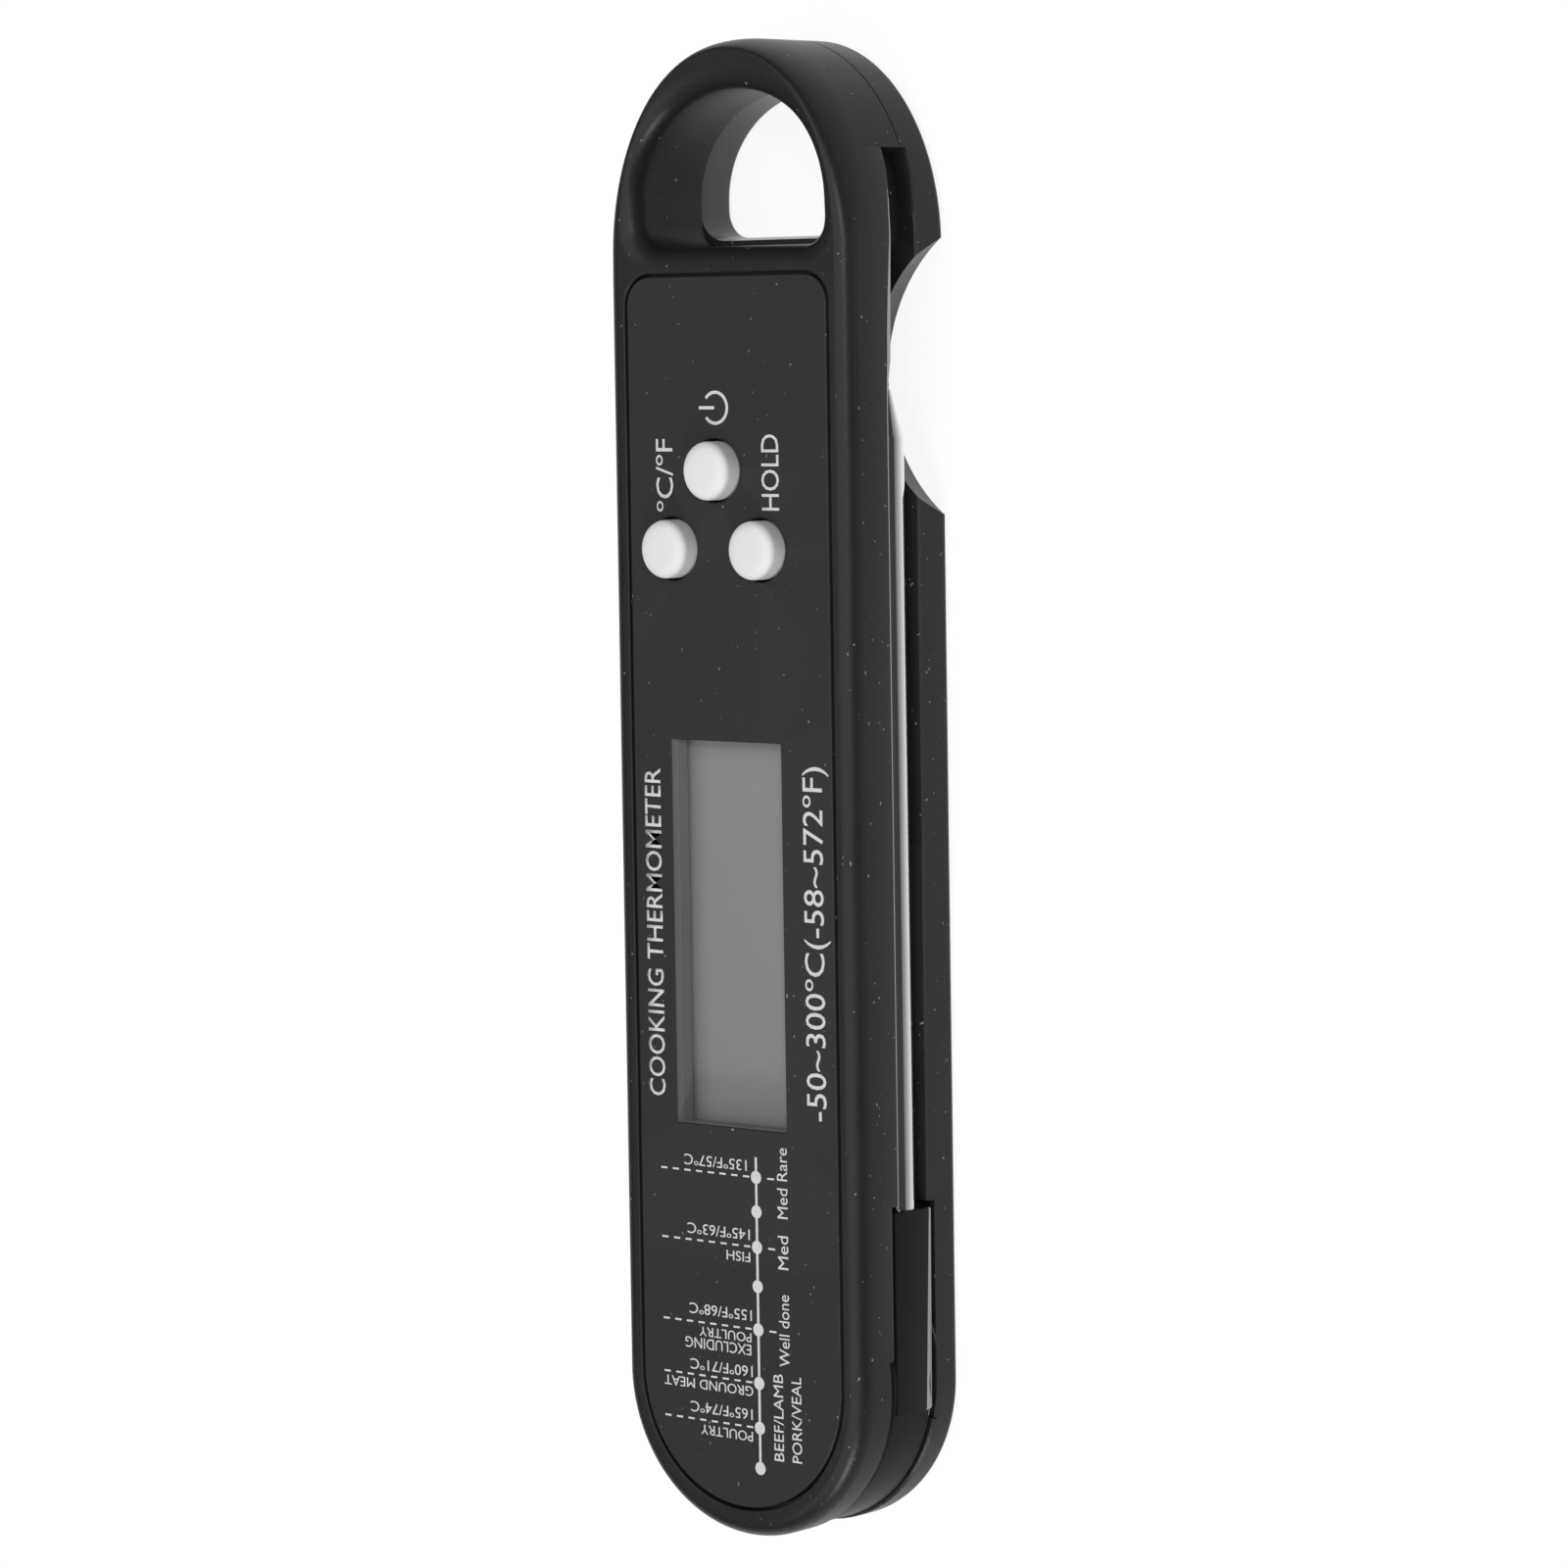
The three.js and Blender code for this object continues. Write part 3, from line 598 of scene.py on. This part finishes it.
def mark(name, outline, over=0.0):
    """A flat printed mark with the given outline, a little higher where it is printed over another."""
    s = Solid()
    rings = [s.ring((x, y, z) for x, y in outline) for z in (PRINT_HIGH + over, PRINT_LOW)]
    s.skin(*rings)
    s.cap(rings[0])
    s.cap(rings[1])
    return s.mesh(name)


def bar(name, x0, x1, y0, y1):
    return mark(name, [(x0, y0), (x1, y0), (x1, y1), (x0, y1)])


def chart():
    """The line with its dots, the dashed leaders and the short ticks."""
    thick, fine = 0.15, 0.1
    pieces = [bar("chart_line", CHART_DOTS[-1], CHART_END, CHART_Y - thick, CHART_Y + thick)]
    for i, x in enumerate(CHART_DOTS):
        dot = [(x + DOT_R * math.cos(a), CHART_Y + DOT_R * math.sin(a)) for a in turns(32)]
        pieces.append(mark(f"chart_dot_{i}", dot, 0.012))
        if i in DASHED:
            for k in range(DASHES):
                y = DASH_FROM + DASH_PITCH * k
                pieces.append(bar(f"chart_dash_{i}_{k}", x - fine, x + fine, y, y + DASH_LONG))
        if i in TICKED:
            pieces.append(bar(f"chart_tick_{i}", x - fine, x + fine, -5.0, -4.05))
    return join("print_chart", pieces)


def power_icon():
    """An open ring with a bar through its gap."""
    x, y = 40.58, 1.5
    r, w = 1.62, 0.17                     # ring radius, half the line's width
    gap, steps = math.radians(38), 40
    sweep = [math.pi / 2 + gap + (2 * math.pi - 2 * gap) * i / steps for i in range(steps + 1)]
    ring = [(x + (r + w) * math.cos(a), y + (r + w) * math.sin(a)) for a in sweep]
    ring += [(x + (r - w) * math.cos(a), y + (r - w) * math.sin(a)) for a in reversed(sweep)]
    return join("print_power", [mark("icon_ring", ring), bar("icon_bar", x - w, x + w, y + 0.15, y + 2.25)])


def join(name, pieces):
    """One object from several meshes."""
    bm = bmesh.new()
    for p in pieces:
        bm.from_mesh(p.data)
        bpy.data.objects.remove(p)
    data = bpy.data.meshes.new(name)
    bm.to_mesh(data)
    bm.free()
    out = bpy.data.objects.new(name, data)
    bpy.context.scene.collection.objects.link(out)
    return out


def rounded_block(name, low, high, r, segments=5):
    """A box with all its edges rounded."""
    bm = bmesh.new()
    bmesh.ops.create_cube(bm, size=1)
    size, middle = high - low, (high + low) / 2
    for v in bm.verts:
        v.co = Vector(a * b for a, b in zip(v.co, size)) + middle
    bmesh.ops.bevel(bm, geom=bm.edges[:], offset=r, segments=segments, profile=0.5,
                    affect="EDGES", clamp_overlap=True)
    for v in bm.verts:
        v.co *= MM
    data = bpy.data.meshes.new(name)
    bm.to_mesh(data)
    bm.free()
    out = bpy.data.objects.new(name, data)
    bpy.context.scene.collection.objects.link(out)
    return out


def display():
    """The display's glass, with ground edges."""
    glass = rounded_block("display_glass", *mm_box("lcd_module"), 0.12, 2)
    shade(glass)
    return glass


def lens():
    clear = rounded_block("display_lens", LENS_LOW, LENS_HIGH, 0.1, 2)
    shade(clear)
    return clear


def push_button(name):
    low, high = mm_box(f"button_{name}")
    x, y = (low.x + high.x) / 2, (low.y + high.y) / 2
    foot, flange = low.z, (high.x - low.x) / 2
    edge, roof = 0.1, foot + 0.9
    profile = [(0, foot), (flange - edge, foot), (flange, foot + edge), (flange, roof - edge)]
    profile += [(flange - edge, roof), (BUTTON_R, roof)]
    side, steps = high.z - BUTTON_DOME, 16
    profile += [(BUTTON_R, side - 0.6)]
    for i in range(steps + 1):
        a = math.pi / 2 * i / steps
        profile.append((BUTTON_R * math.cos(a) ** BUTTON_CROWN, side + BUTTON_DOME * math.sin(a)))
    profile[-1] = (0, high.z)
    cap = lathe(f"{name}_key", profile, (x, y), 96)
    shade(cap, 40)
    return cap


# ---------- probe ----------
def arm_bar(bottom, x1):
    """The arm: a bar with a bevel along its outer lower edge that widens towards the hinge."""
    x0, outer, inner, top = -65.2, -16.55, -12.2, 10.25
    edge, step = 0.28, 0.08               # rounding of the edges and its middle step
    ends = [(x0, edge), (x0 + step, step), (x0 + edge, 0), (x1 - edge, 0), (x1 - step, step), (x1, edge)]
    s = Solid()
    rings = []
    for x, inset in ends:
        t = (x - x0) / (x1 - x0)
        tall, deep = 1.25 - 0.75 * t, 0.34 - 0.18 * t
        y = outer + inset
        section = [(inner, bottom + inset), (y + deep, bottom + inset), (y, bottom + tall), (y, top - edge)]
        section += [(y + step, top - step - inset), (y + edge, top - inset), (inner, top - inset)]
        rings.append(s.ring((x, *p) for p in section))
    s.skin(*rings)
    s.faces += [tuple(rings[0]), tuple(rings[-1])]
    return s.mesh("arm")


def probe_body():
    """The turning hub and its arm, joined."""
    low, high = mm_box("probe_hub")
    r, bore = 16.4, 4.0
    wire0, wire1, wire_floor = 7.0, 12.6, 2.0          # the ring that holds the leads
    z0, z1 = 4.3, high.z
    e = 0.35
    profile = [(bore, z0 + e), (bore + e, z0), (r - e, z0)]
    profile += [(r - e * (1 - u), z0 + e * v) for u, v in quarter(5)[1:]]
    profile += [(r - e * (1 - u), z1 - e * v) for u, v in reversed(quarter(5))]
    profile += [(wire1, z1), (wire1, z0 + wire_floor), (wire0, z0 + wire_floor), (wire0, z1)]
    profile += [(bore + e, z1), (bore, z1 - e)]
    s = Solid()
    rings = [s.ring((PIVOT + a * math.cos(t), a * math.sin(t), z) for t in turns(144)) for a, z in profile]
    s.skin(*rings, rings[0])
    body = carve(s.mesh("probe_body"), [arm_bar(low.z, high.x)], "UNION")
    side = mm_box("probe_stem")[0].y
    first, last = Vector((high.x - 8, side + 0.05, 5.45)), Vector((high.x + 1, side + 3.6, 9.05))
    body = carve(body, [rounded_block("socket", first, last, 1.7, 8)])
    shade(body)
    return body


STEM_R, STEM_BORE, CONE = 1.75, 1.25, 5.4
STEM_LEAN = 0.002


def stem_line():
    """Where the stem's axis starts, how it leans, and its length."""
    low, high = mm_box("probe_stem")
    start = Vector((low.x, low.y + STEM_R, (low.z + high.z) / 2))
    return start, STEM_LEAN, high.x - low.x


def stem():
    start, lean, long = stem_line()
    shoulder = long - CONE - 0.4          # where the rounding into the cone begins
    profile = [(STEM_BORE, 0), (STEM_R - 0.05, 0), (STEM_R, 0.05), (STEM_R, shoulder)]
    for i in range(1, 8):
        t = i / 8
        profile.append((STEM_R - 0.12 * t * t, shoulder + 0.8 * t))
    profile += [(0.5, long - 0.5), (0.36, long - 0.22), (0.2, long - 0.06), (0, long)]
    profile += [(0, long - 3.2), (STEM_BORE, long - CONE - 0.6)]
    s = Solid()
    rings = [s.ring((h, a * math.cos(t), a * math.sin(t)) for t in turns(64)) for a, h in profile]
    s.skin(*rings, rings[0])
    tube = s.mesh("stem")
    tube.data.transform(Matrix.Translation(start * MM) @ Matrix.Rotation(lean, 4, "Z"))
    shade(tube)
    return tube


# ---------- back ----------
LUGS = 3                                  # of the battery cover
LOCK_TURN = math.radians(-50)


def battery_door():
    x, y = COVER.x, COVER.y
    low, high = mm_box("battery_cover")
    r, z0 = COVER_R, low.z
    e = 0.3
    profile = [(0, z0)] + [(r - e * (1 - u), z0 + e * v) for u, v in quarter(5)]
    plug = 10.1
    profile += [(r, 1.1), (plug, 1.1), (plug, 2.4), (plug - 0.1, high.z), (0, high.z)]
    door = lathe("battery_door", profile, (x, y), 144)
    lugs = []
    for i in range(LUGS):
        lug = slab("lug", 9.0, 11.6, -1.8, 1.8, 2.0, high.z - 0.001)
        turn = Matrix.Rotation(2 * math.pi * i / LUGS, 4, "Z")
        lug.data.transform(Matrix.Translation(Vector((x, y, 0)) * MM) @ turn)
        lugs.append(lug)
    carve(door, lugs, "UNION")
    half_long, half_wide, dot_at = 6.5, 1.0, 9.6       # the coin slot, and the ring its two marks lie on
    coin = rounded_block("coin", Vector((x - half_long, y - half_wide, -1.5)),
                         Vector((x + half_long, y + half_wide, 0.75)), 0.5, 4)
    dimple = [(0, -0.5), (0.5, -0.5), (0.5, z0 + 0.15), (0.3, z0 + 0.28), (0, z0 + 0.3)]
    dots = [lathe("dot", dimple, (x + dot_at * math.cos(a), y + dot_at * math.sin(a)), 24)
            for a in (0.0, LOCK_TURN)]
    carve(door, [coin, *dots])
    shade(door)
    return door


def screw(name):
    spot = mm_centre(name)
    low, high = mm_box(name)
    x, y = spot.x, spot.y
    head, edge, shank, root = 2.3, 0.35, 1.1, 0.9
    top, under, thread, pitch = low.z, 1.6, 2.2, 0.5
    profile = [(0, top)] + [(head - edge * (1 - u), top + edge * v) for u, v in quarter(4)]
    profile += [(head, under), (shank, under)]
    for i in range(int((high.z - 1.2 - thread) / pitch)):
        z = thread + i * pitch
        profile += [(shank, z), (root, z + pitch / 2)]
    profile += [(shank, high.z - 1.0), (0.3, high.z), (0, high.z)]
    body = lathe(f"fastener_{name}", profile, (x, y), 40)
    arm, half = 1.35, 0.3
    cross = [slab("cross", x - a, x + a, y - b, y + b, -1, 1.1) for a, b in ((arm, half), (half, arm))]
    carve(body, cross)
    shade(body)
    return body


# ---------- materials ----------
def material(name, colour, roughness, metallic=0.0, specular=0.5, **sockets):
    m = bpy.data.materials.new(name)
    m.use_nodes = True
    shader = m.node_tree.nodes["Principled BSDF"]
    shader.inputs["Base Color"].default_value = (*colour, 1)
    shader.inputs["Roughness"].default_value = roughness
    shader.inputs["Metallic"].default_value = metallic
    shader.inputs["Specular IOR Level"].default_value = specular
    for key, value in sockets.items():
        shader.inputs[key.replace("_", " ").title()].default_value = value
    return m, m.node_tree.nodes, m.node_tree.links, shader


def noise(nodes, links, scale, detail=3.0, stretch=(1, 1, 1)):
    """Noise in the object's own space, in cells per metre."""
    place = nodes.new("ShaderNodeTexCoord")
    mapping = nodes.new("ShaderNodeMapping")
    mapping.inputs["Scale"].default_value = stretch
    texture = nodes.new("ShaderNodeTexNoise")
    texture.inputs["Scale"].default_value = scale
    texture.inputs["Detail"].default_value = detail
    links.new(place.outputs["Object"], mapping.inputs["Vector"])
    links.new(mapping.outputs["Vector"], texture.inputs["Vector"])
    return texture.outputs["Fac"]


def spread(nodes, links, factor, low, high):
    ramp = nodes.new("ShaderNodeMapRange")
    ramp.inputs["From Min"].default_value = 0.3
    ramp.inputs["From Max"].default_value = 0.7
    ramp.inputs["To Min"].default_value = low
    ramp.inputs["To Max"].default_value = high
    links.new(factor, ramp.inputs["Value"])
    return ramp.outputs["Result"]


def tint(nodes, links, factor, dark, light):
    mix = nodes.new("ShaderNodeMix")
    mix.data_type = "RGBA"
    mix.inputs[6].default_value = (*dark, 1)
    mix.inputs[7].default_value = (*light, 1)
    links.new(factor, mix.inputs[0])
    return mix.outputs[2]


def bump(nodes, links, factor, shader, distance, strength=1.0):
    node = nodes.new("ShaderNodeBump")
    node.inputs["Strength"].default_value = strength
    node.inputs["Distance"].default_value = distance
    links.new(factor, node.inputs["Height"])
    links.new(node.outputs["Normal"], shader.inputs["Normal"])


def moulded(name, dark, light, rough, grain=0.000012, cells=2600, specular=0.35, dust=0.0):
    """Moulded plastic: fine spark texture, slight shade and gloss changes, paler worn edges, a few specks."""
    m, nodes, links, shader = material(name, dark, rough[0], specular=specular)
    broad = noise(nodes, links, 60, 4)
    fine = noise(nodes, links, cells, 2)
    wear = nodes.new("ShaderNodeNewGeometry").outputs["Pointiness"]
    worn = nodes.new("ShaderNodeMapRange")
    worn.inputs["From Min"].default_value = 0.53
    worn.inputs["From Max"].default_value = 0.62
    links.new(wear, worn.inputs["Value"])
    shade_mix = nodes.new("ShaderNodeMath")
    shade_mix.operation = "MAXIMUM"
    links.new(worn.outputs["Result"], shade_mix.inputs[0])
    links.new(spread(nodes, links, broad, 0.0, 0.45), shade_mix.inputs[1])
    colour = tint(nodes, links, shade_mix.outputs[0], dark, light)
    if dust:
        specks = nodes.new("ShaderNodeMapRange")
        specks.inputs["From Min"].default_value = 0.83
        specks.inputs["From Max"].default_value = 0.87
        specks.inputs["To Max"].default_value = dust
        links.new(noise(nodes, links, 2300, 0), specks.inputs["Value"])
        over = nodes.new("ShaderNodeMix")
        over.data_type = "RGBA"
        over.inputs[7].default_value = (0.4, 0.4, 0.4, 1)
        links.new(specks.outputs["Result"], over.inputs[0])
        links.new(colour, over.inputs[6])
        colour = over.outputs[2]
    links.new(colour, shader.inputs["Base Color"])
    links.new(spread(nodes, links, broad, *rough), shader.inputs["Roughness"])
    bump(nodes, links, fine, shader, grain)
    return m


def steel(name, colour, rough, stretch, cells=900):
    """Drawn or turned steel: fine lines along stretch."""
    m, nodes, links, shader = material(name, colour, rough[0], metallic=1.0)
    lines = noise(nodes, links, cells, 3, stretch)
    links.new(spread(nodes, links, lines, *rough), shader.inputs["Roughness"])
    dark = tuple(c * 0.88 for c in colour)
    links.new(tint(nodes, links, lines, dark, colour), shader.inputs["Base Color"])
    bump(nodes, links, lines, shader, 0.0000015)
    return m


def drawn_tube():
    """The probe's steel, ground along its length, with a painted reflection: lighter in colour where it faces
    down.
    """
    m, nodes, links, shader = material("probe_steel", (0.4, 0.4, 0.4), 0.14, metallic=1.0)
    place = nodes.new("ShaderNodeTexCoord")
    split = nodes.new("ShaderNodeSeparateXYZ")
    links.new(place.outputs["Normal"], split.inputs[0])
    # Painted reflection: the base colour runs from dark where the tube faces up to light where it faces down.
    under = nodes.new("ShaderNodeMapRange")
    under.inputs["From Min"].default_value = 0.35
    under.inputs["From Max"].default_value = -0.3
    links.new(split.outputs["Z"], under.inputs["Value"])
    lines = noise(nodes, links, 2500, 3, (0.02, 1, 1))
    links.new(spread(nodes, links, lines, 0.1, 0.18), shader.inputs["Roughness"])
    links.new(tint(nodes, links, under.outputs["Result"], (0.2, 0.2, 0.203), (0.84, 0.84, 0.84)),
              shader.inputs["Base Color"])
    bump(nodes, links, lines, shader, 0.0000005)
    return m


def print_ink():
    m, nodes, links, shader = material("print_ink", (0.38, 0.38, 0.38), 0.5, specular=0.3)
    speck = noise(nodes, links, 1500, 3)
    ink = tint(nodes, links, speck, (0.31, 0.31, 0.31), (0.43, 0.43, 0.425))
    links.new(ink, shader.inputs["Base Color"])
    bump(nodes, links, speck, shader, 0.000006)
    return m


def display_grey():
    """A switched-off display: grey, with painted shading that makes it a little lighter towards one end, and a
    fine pixel weave.
    """
    m, nodes, links, shader = material("display_grey", (0.13, 0.13, 0.13), 0.32, specular=0.2)
    place = nodes.new("ShaderNodeTexCoord")
    split = nodes.new("ShaderNodeSeparateXYZ")
    links.new(place.outputs["Object"], split.inputs[0])
    # Painted shading: the grey lightens from the window's -X end to its +X end.
    along = nodes.new("ShaderNodeMapRange")
    along.inputs["From Min"].default_value = WINDOW[0] * MM
    along.inputs["From Max"].default_value = WINDOW[1] * MM
    links.new(split.outputs["X"], along.inputs["Value"])
    cloud = noise(nodes, links, 90, 2)
    blend = nodes.new("ShaderNodeMath")
    blend.operation = "MULTIPLY_ADD"
    blend.inputs[1].default_value = 0.75
    links.new(along.outputs["Result"], blend.inputs[0])
    links.new(spread(nodes, links, cloud, 0.0, 0.25), blend.inputs[2])
    grey = tint(nodes, links, blend.outputs[0], (0.105, 0.106, 0.105), (0.135, 0.136, 0.134))
    links.new(grey, shader.inputs["Base Color"])
    bump(nodes, links, noise(nodes, links, 4000, 1), shader, 0.000002)
    return m


def clear_lens():
    m, nodes, links, shader = material("clear_lens", (0.3, 0.3, 0.3), 0.06, specular=0.3)
    shader.inputs["Alpha"].default_value = 0.12
    haze = noise(nodes, links, 500, 3)
    links.new(spread(nodes, links, haze, 0.05, 0.09), shader.inputs["Roughness"])
    return m


def board_green():
    m, nodes, links, shader = material("board_green", (0.02, 0.13, 0.05), 0.45)
    weave = noise(nodes, links, 3000, 1)
    tracks = nodes.new("ShaderNodeTexVoronoi")
    tracks.inputs["Scale"].default_value = 700
    place = nodes.new("ShaderNodeTexCoord")
    links.new(place.outputs["Object"], tracks.inputs["Vector"])
    links.new(tint(nodes, links, tracks.outputs["Distance"], (0.03, 0.2, 0.07), (0.012, 0.09, 0.035)),
              shader.inputs["Base Color"])
    bump(nodes, links, weave, shader, 0.00001)
    return m


def soft(name, dark, light, rough):
    m, nodes, links, shader = material(name, dark, rough, specular=0.25)
    grain = noise(nodes, links, 1800, 4)
    links.new(tint(nodes, links, grain, dark, light), shader.inputs["Base Color"])
    links.new(spread(nodes, links, grain, rough - 0.08, rough + 0.08), shader.inputs["Roughness"])
    bump(nodes, links, grain, shader, 0.00002)
    return m


CASING = moulded("casing_black", (0.0075, 0.0075, 0.0078), (0.0115, 0.0115, 0.0118), (0.34, 0.42),
                 grain=0.00002, specular=0.17, dust=0.35)
HUB_BLACK = moulded("hub_black", (0.004, 0.004, 0.0042), (0.007, 0.007, 0.0072), (0.36, 0.44), specular=0.08)
PLATE_BLACK = moulded("plate_charcoal", (0.0105, 0.0105, 0.0107), (0.013, 0.013, 0.0132), (0.46, 0.54),
                      grain=0.000004, cells=5200, specular=0.2, dust=0.3)
WHITE = moulded("button_ivory", (0.45, 0.45, 0.446), (0.5, 0.5, 0.495), (0.4, 0.48),
                grain=0.000005, cells=1800, specular=0.3)
BEZEL = moulded("bezel_grey", (0.12, 0.12, 0.12), (0.16, 0.16, 0.16), (0.5, 0.6))
RESIN = moulded("resin_black", (0.008, 0.008, 0.008), (0.014, 0.014, 0.014), (0.15, 0.25),
                grain=0.00002, cells=400, specular=0.5)
PROBE_STEEL = drawn_tube()
# A paler copy of the casing plastic, put on bevels and walls as a painted highlight.
PAINTED_HIGHLIGHT = moulded("painted_highlight_edge", (0.2, 0.2, 0.2), (0.3, 0.3, 0.3), (0.3, 0.4))
# A lighter copy of the casing plastic: painted light on the back shell's loop wall.
LIT_WALL = moulded("painted_lit_wall", (0.035, 0.035, 0.0355), (0.055, 0.055, 0.055), (0.24, 0.32))
ZINC = steel("zinc_steel", (0.55, 0.55, 0.54), (0.28, 0.4), (1, 1, 0.2))
SPRING = steel("spring_brass", (0.62, 0.5, 0.26), (0.25, 0.38), (0.1, 1, 1))
RUBBER = soft("rubber_black", (0.02, 0.02, 0.02), (0.035, 0.035, 0.035), 0.8)
WIRE = soft("wire_red", (0.28, 0.02, 0.015), (0.4, 0.035, 0.02), 0.5)
INK = print_ink()
DISPLAY = display_grey()
LENS = clear_lens()
BOARD = board_green()

SLOT_LOOKS = {
    "casing_plastic": CASING, "plate_print": PLATE_BLACK, "button_white": WHITE, "window_clear": LENS,
    "lcd": DISPLAY, "bezel_plastic": BEZEL, "rubber_black": RUBBER, "board_green": BOARD,
    "resin_black": RESIN, "steel_probe": PROBE_STEEL, "steel_zinc": ZINC, "spring_brass": SPRING,
    "wire_red": WIRE,
}


def dress(piece, look, body, slot, *nodes):
    """Gives a new piece its material and body, and hides the CAD nodes it stands for. Its slot argument is not
    used.
    """
    piece.data.materials.clear()
    piece.data.materials.append(look)
    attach(piece, body)
    if nodes:
        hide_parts(*nodes)
    return piece


def paint(piece, look, test):
    """Gives a second material to the faces that pass the test of centre (in millimetres) and normal."""
    piece.data.materials.append(look)
    for p in piece.data.polygons:
        if test(p.center / MM, p.normal):
            p.material_index = len(piece.data.materials) - 1
    return piece


def in_window(at, n):
    near = 0.12
    x0, x1, y0, y1 = WINDOW
    return abs(n.z) < 0.5 and x0 - near < at.x < x1 + near and y0 - near < at.y < y1 + near


def faces_down_and_out(n):
    return -0.9 < n.z < -0.1


# The bevel under the slot's upper edge, which gets a painted highlight.
def on_slot_lip(at, n):
    beside = ARM_SLOT[1] < at.x < 64 and at.y < -15
    return beside and SLOT_Z[1] - 1 < at.z < SLOT_Z[1] + 0.3 and faces_down_and_out(n)


# The bevel along the arm's outer lower edge, which gets a painted highlight.
def on_arm_bevel(at, n):
    return at.x < -43 and at.y < -16 and n.y < -0.5 and faces_down_and_out(n)


# The back shell's inner wall round the loop, which gets painted light.
def on_hanger_wall(at, n):
    low = at.x > LOOP_FLAT and at.z < SPLIT and math.hypot(at.x - LOOP_X, at.y) < 13
    return low and abs(n.z) < 0.5 and (n.y * at.y < 0 or n.x < -0.5)


# The loop's flat end wall in the back shell, which gets a painted highlight.
def on_hanger_flat(at, n):
    return LOOP_FLAT < at.x < LOOP_FLAT_BACK + 0.1 and n.x > 0.9 and at.z < SPLIT


def dress_cad_nodes():
    for part in frame["record"]["subparts"]:
        node = frame["nodes"][part["node"]]
        node.data.materials.clear()
        node.data.materials.append(SLOT_LOOKS[part["material_slot"]])
        shade_flat_cad(node)


def shade_flat_cad(node):
    """Flat shading on a CAD piece, set by attributes only, so that its mesh stays as it is."""
    for e in node.data.edges:
        e.use_edge_sharp = False
    for p in node.data.polygons:
        p.use_smooth = False


# ---------- assembly ----------
dress_cad_nodes()
front = dress(front_case(), CASING, "casing", "casing_plastic", "front_shell")
# The window's walls take the bezel grey, and the slot's upper lip gets a painted highlight.
paint(paint(front, BEZEL, in_window), PAINTED_HIGHLIGHT, on_slot_lip)
back = dress(back_case(), CASING, "casing", "casing_plastic", "back_shell")
# Painted light on the back shell's loop wall, and a painted highlight on the loop's flat end.
paint(paint(back, LIT_WALL, on_hanger_wall), PAINTED_HIGHLIGHT, on_hanger_flat)
paint(dress(face_plate(), PLATE_BLACK, "casing", "plate_print", "face_plate"), BEZEL, in_window)
dress(display(), DISPLAY, "casing", "lcd", "lcd_module")
dress(lens(), LENS, "casing", "window_clear", "window_lens")
for number, words in enumerate(LEGENDS):
    dress(legend(*words, number), INK, "casing", "plate_print")
dress(chart(), INK, "casing", "plate_print")
dress(power_icon(), INK, "casing", "plate_print")
for button in BUTTONS:
    dress(push_button(button), WHITE, f"{button}_button", "button_white", f"button_{button}")
# The arm's bevel gets a painted highlight.
paint(dress(probe_body(), HUB_BLACK, "probe", "casing_plastic", "probe_hub"), PAINTED_HIGHLIGHT, on_arm_bevel)
dress(stem(), PROBE_STEEL, "probe", "steel_probe", "probe_stem")
dress(battery_door(), CASING, "battery_door", "casing_plastic", "battery_cover")
for screw_name in SCREWS:
    dress(screw(screw_name), ZINC, "casing", "steel_zinc", screw_name)


# ---------- stage ----------
def floor():
    bm = bmesh.new()
    bmesh.ops.create_grid(bm, x_segments=1, y_segments=1, size=6)
    data = bpy.data.meshes.new("floor")
    bm.to_mesh(data)
    bm.free()
    out = bpy.data.objects.new("floor", data)
    bpy.context.scene.collection.objects.link(out)
    out.location.z = -0.0002              # just below the back, so that the two don't flicker
    look, _, _, shader = material("floor_white", (0.12, 0.12, 0.12), 0.9, specular=0.0)
    shader.inputs["Emission Color"].default_value = (1, 1, 1, 1)
    shader.inputs["Emission Strength"].default_value = 0.87
    out.data.materials.append(look)


def lamp(name, at, towards, size, power):
    light = bpy.data.lights.new(name, "AREA")
    light.shape = "RECTANGLE"
    light.size, light.size_y = size
    light.energy = power
    out = bpy.data.objects.new(name, light)
    out.location = at
    out.rotation_euler = (Vector(towards) - Vector(at)).to_track_quat("-Z", "Y").to_euler()
    bpy.context.scene.collection.objects.link(out)


CAMERA_AT = Vector((48.03, -388.6, 461.1))
LENS_LENGTH = 129.65


def camera():
    """A long lens over the probe side, looking steeply down, with the loop at the top of the frame."""
    data = bpy.data.cameras.new("camera")
    data.sensor_width = 36
    data.lens = LENS_LENGTH
    data.clip_start, data.clip_end = 0.05, 20
    out = bpy.data.objects.new("camera", data)
    out.matrix_world = Matrix.Translation(CAMERA_AT * MM) @ aim_matrix()
    bpy.context.scene.collection.objects.link(out)
    bpy.context.scene.camera = out


def aim_matrix():
    """The camera's turn: laid on its side, tipped down, then the small corrections of a hand-held view."""
    right = Vector((-0.01511, -0.75989, -0.64988))
    up = Vector((0.99674, 0.04005, -0.07000))
    back = right.cross(up)
    return Matrix((right, up, back)).transposed().to_4x4()


def world():
    w = bpy.data.worlds.new("studio")
    w.use_nodes = True
    background = w.node_tree.nodes["Background"]
    background.inputs["Color"].default_value = (1, 1, 1, 1)
    background.inputs["Strength"].default_value = 0.2
    bpy.context.scene.world = w


floor()
camera()
world()
lamp("overhead", (0.0, 0.0, 1.3), (0, 0, 0), (2.6, 1.8), 31)
lamp("tip_side", (-0.88, -0.42, 0.52), (0, 0, 0), (0.3, 0.2), 7)
lamp("front", (0.25, -0.72, 0.8), (0, 0, 0), (0.14, 0.14), 4)
bpy.context.scene.view_settings.view_transform = "Standard"
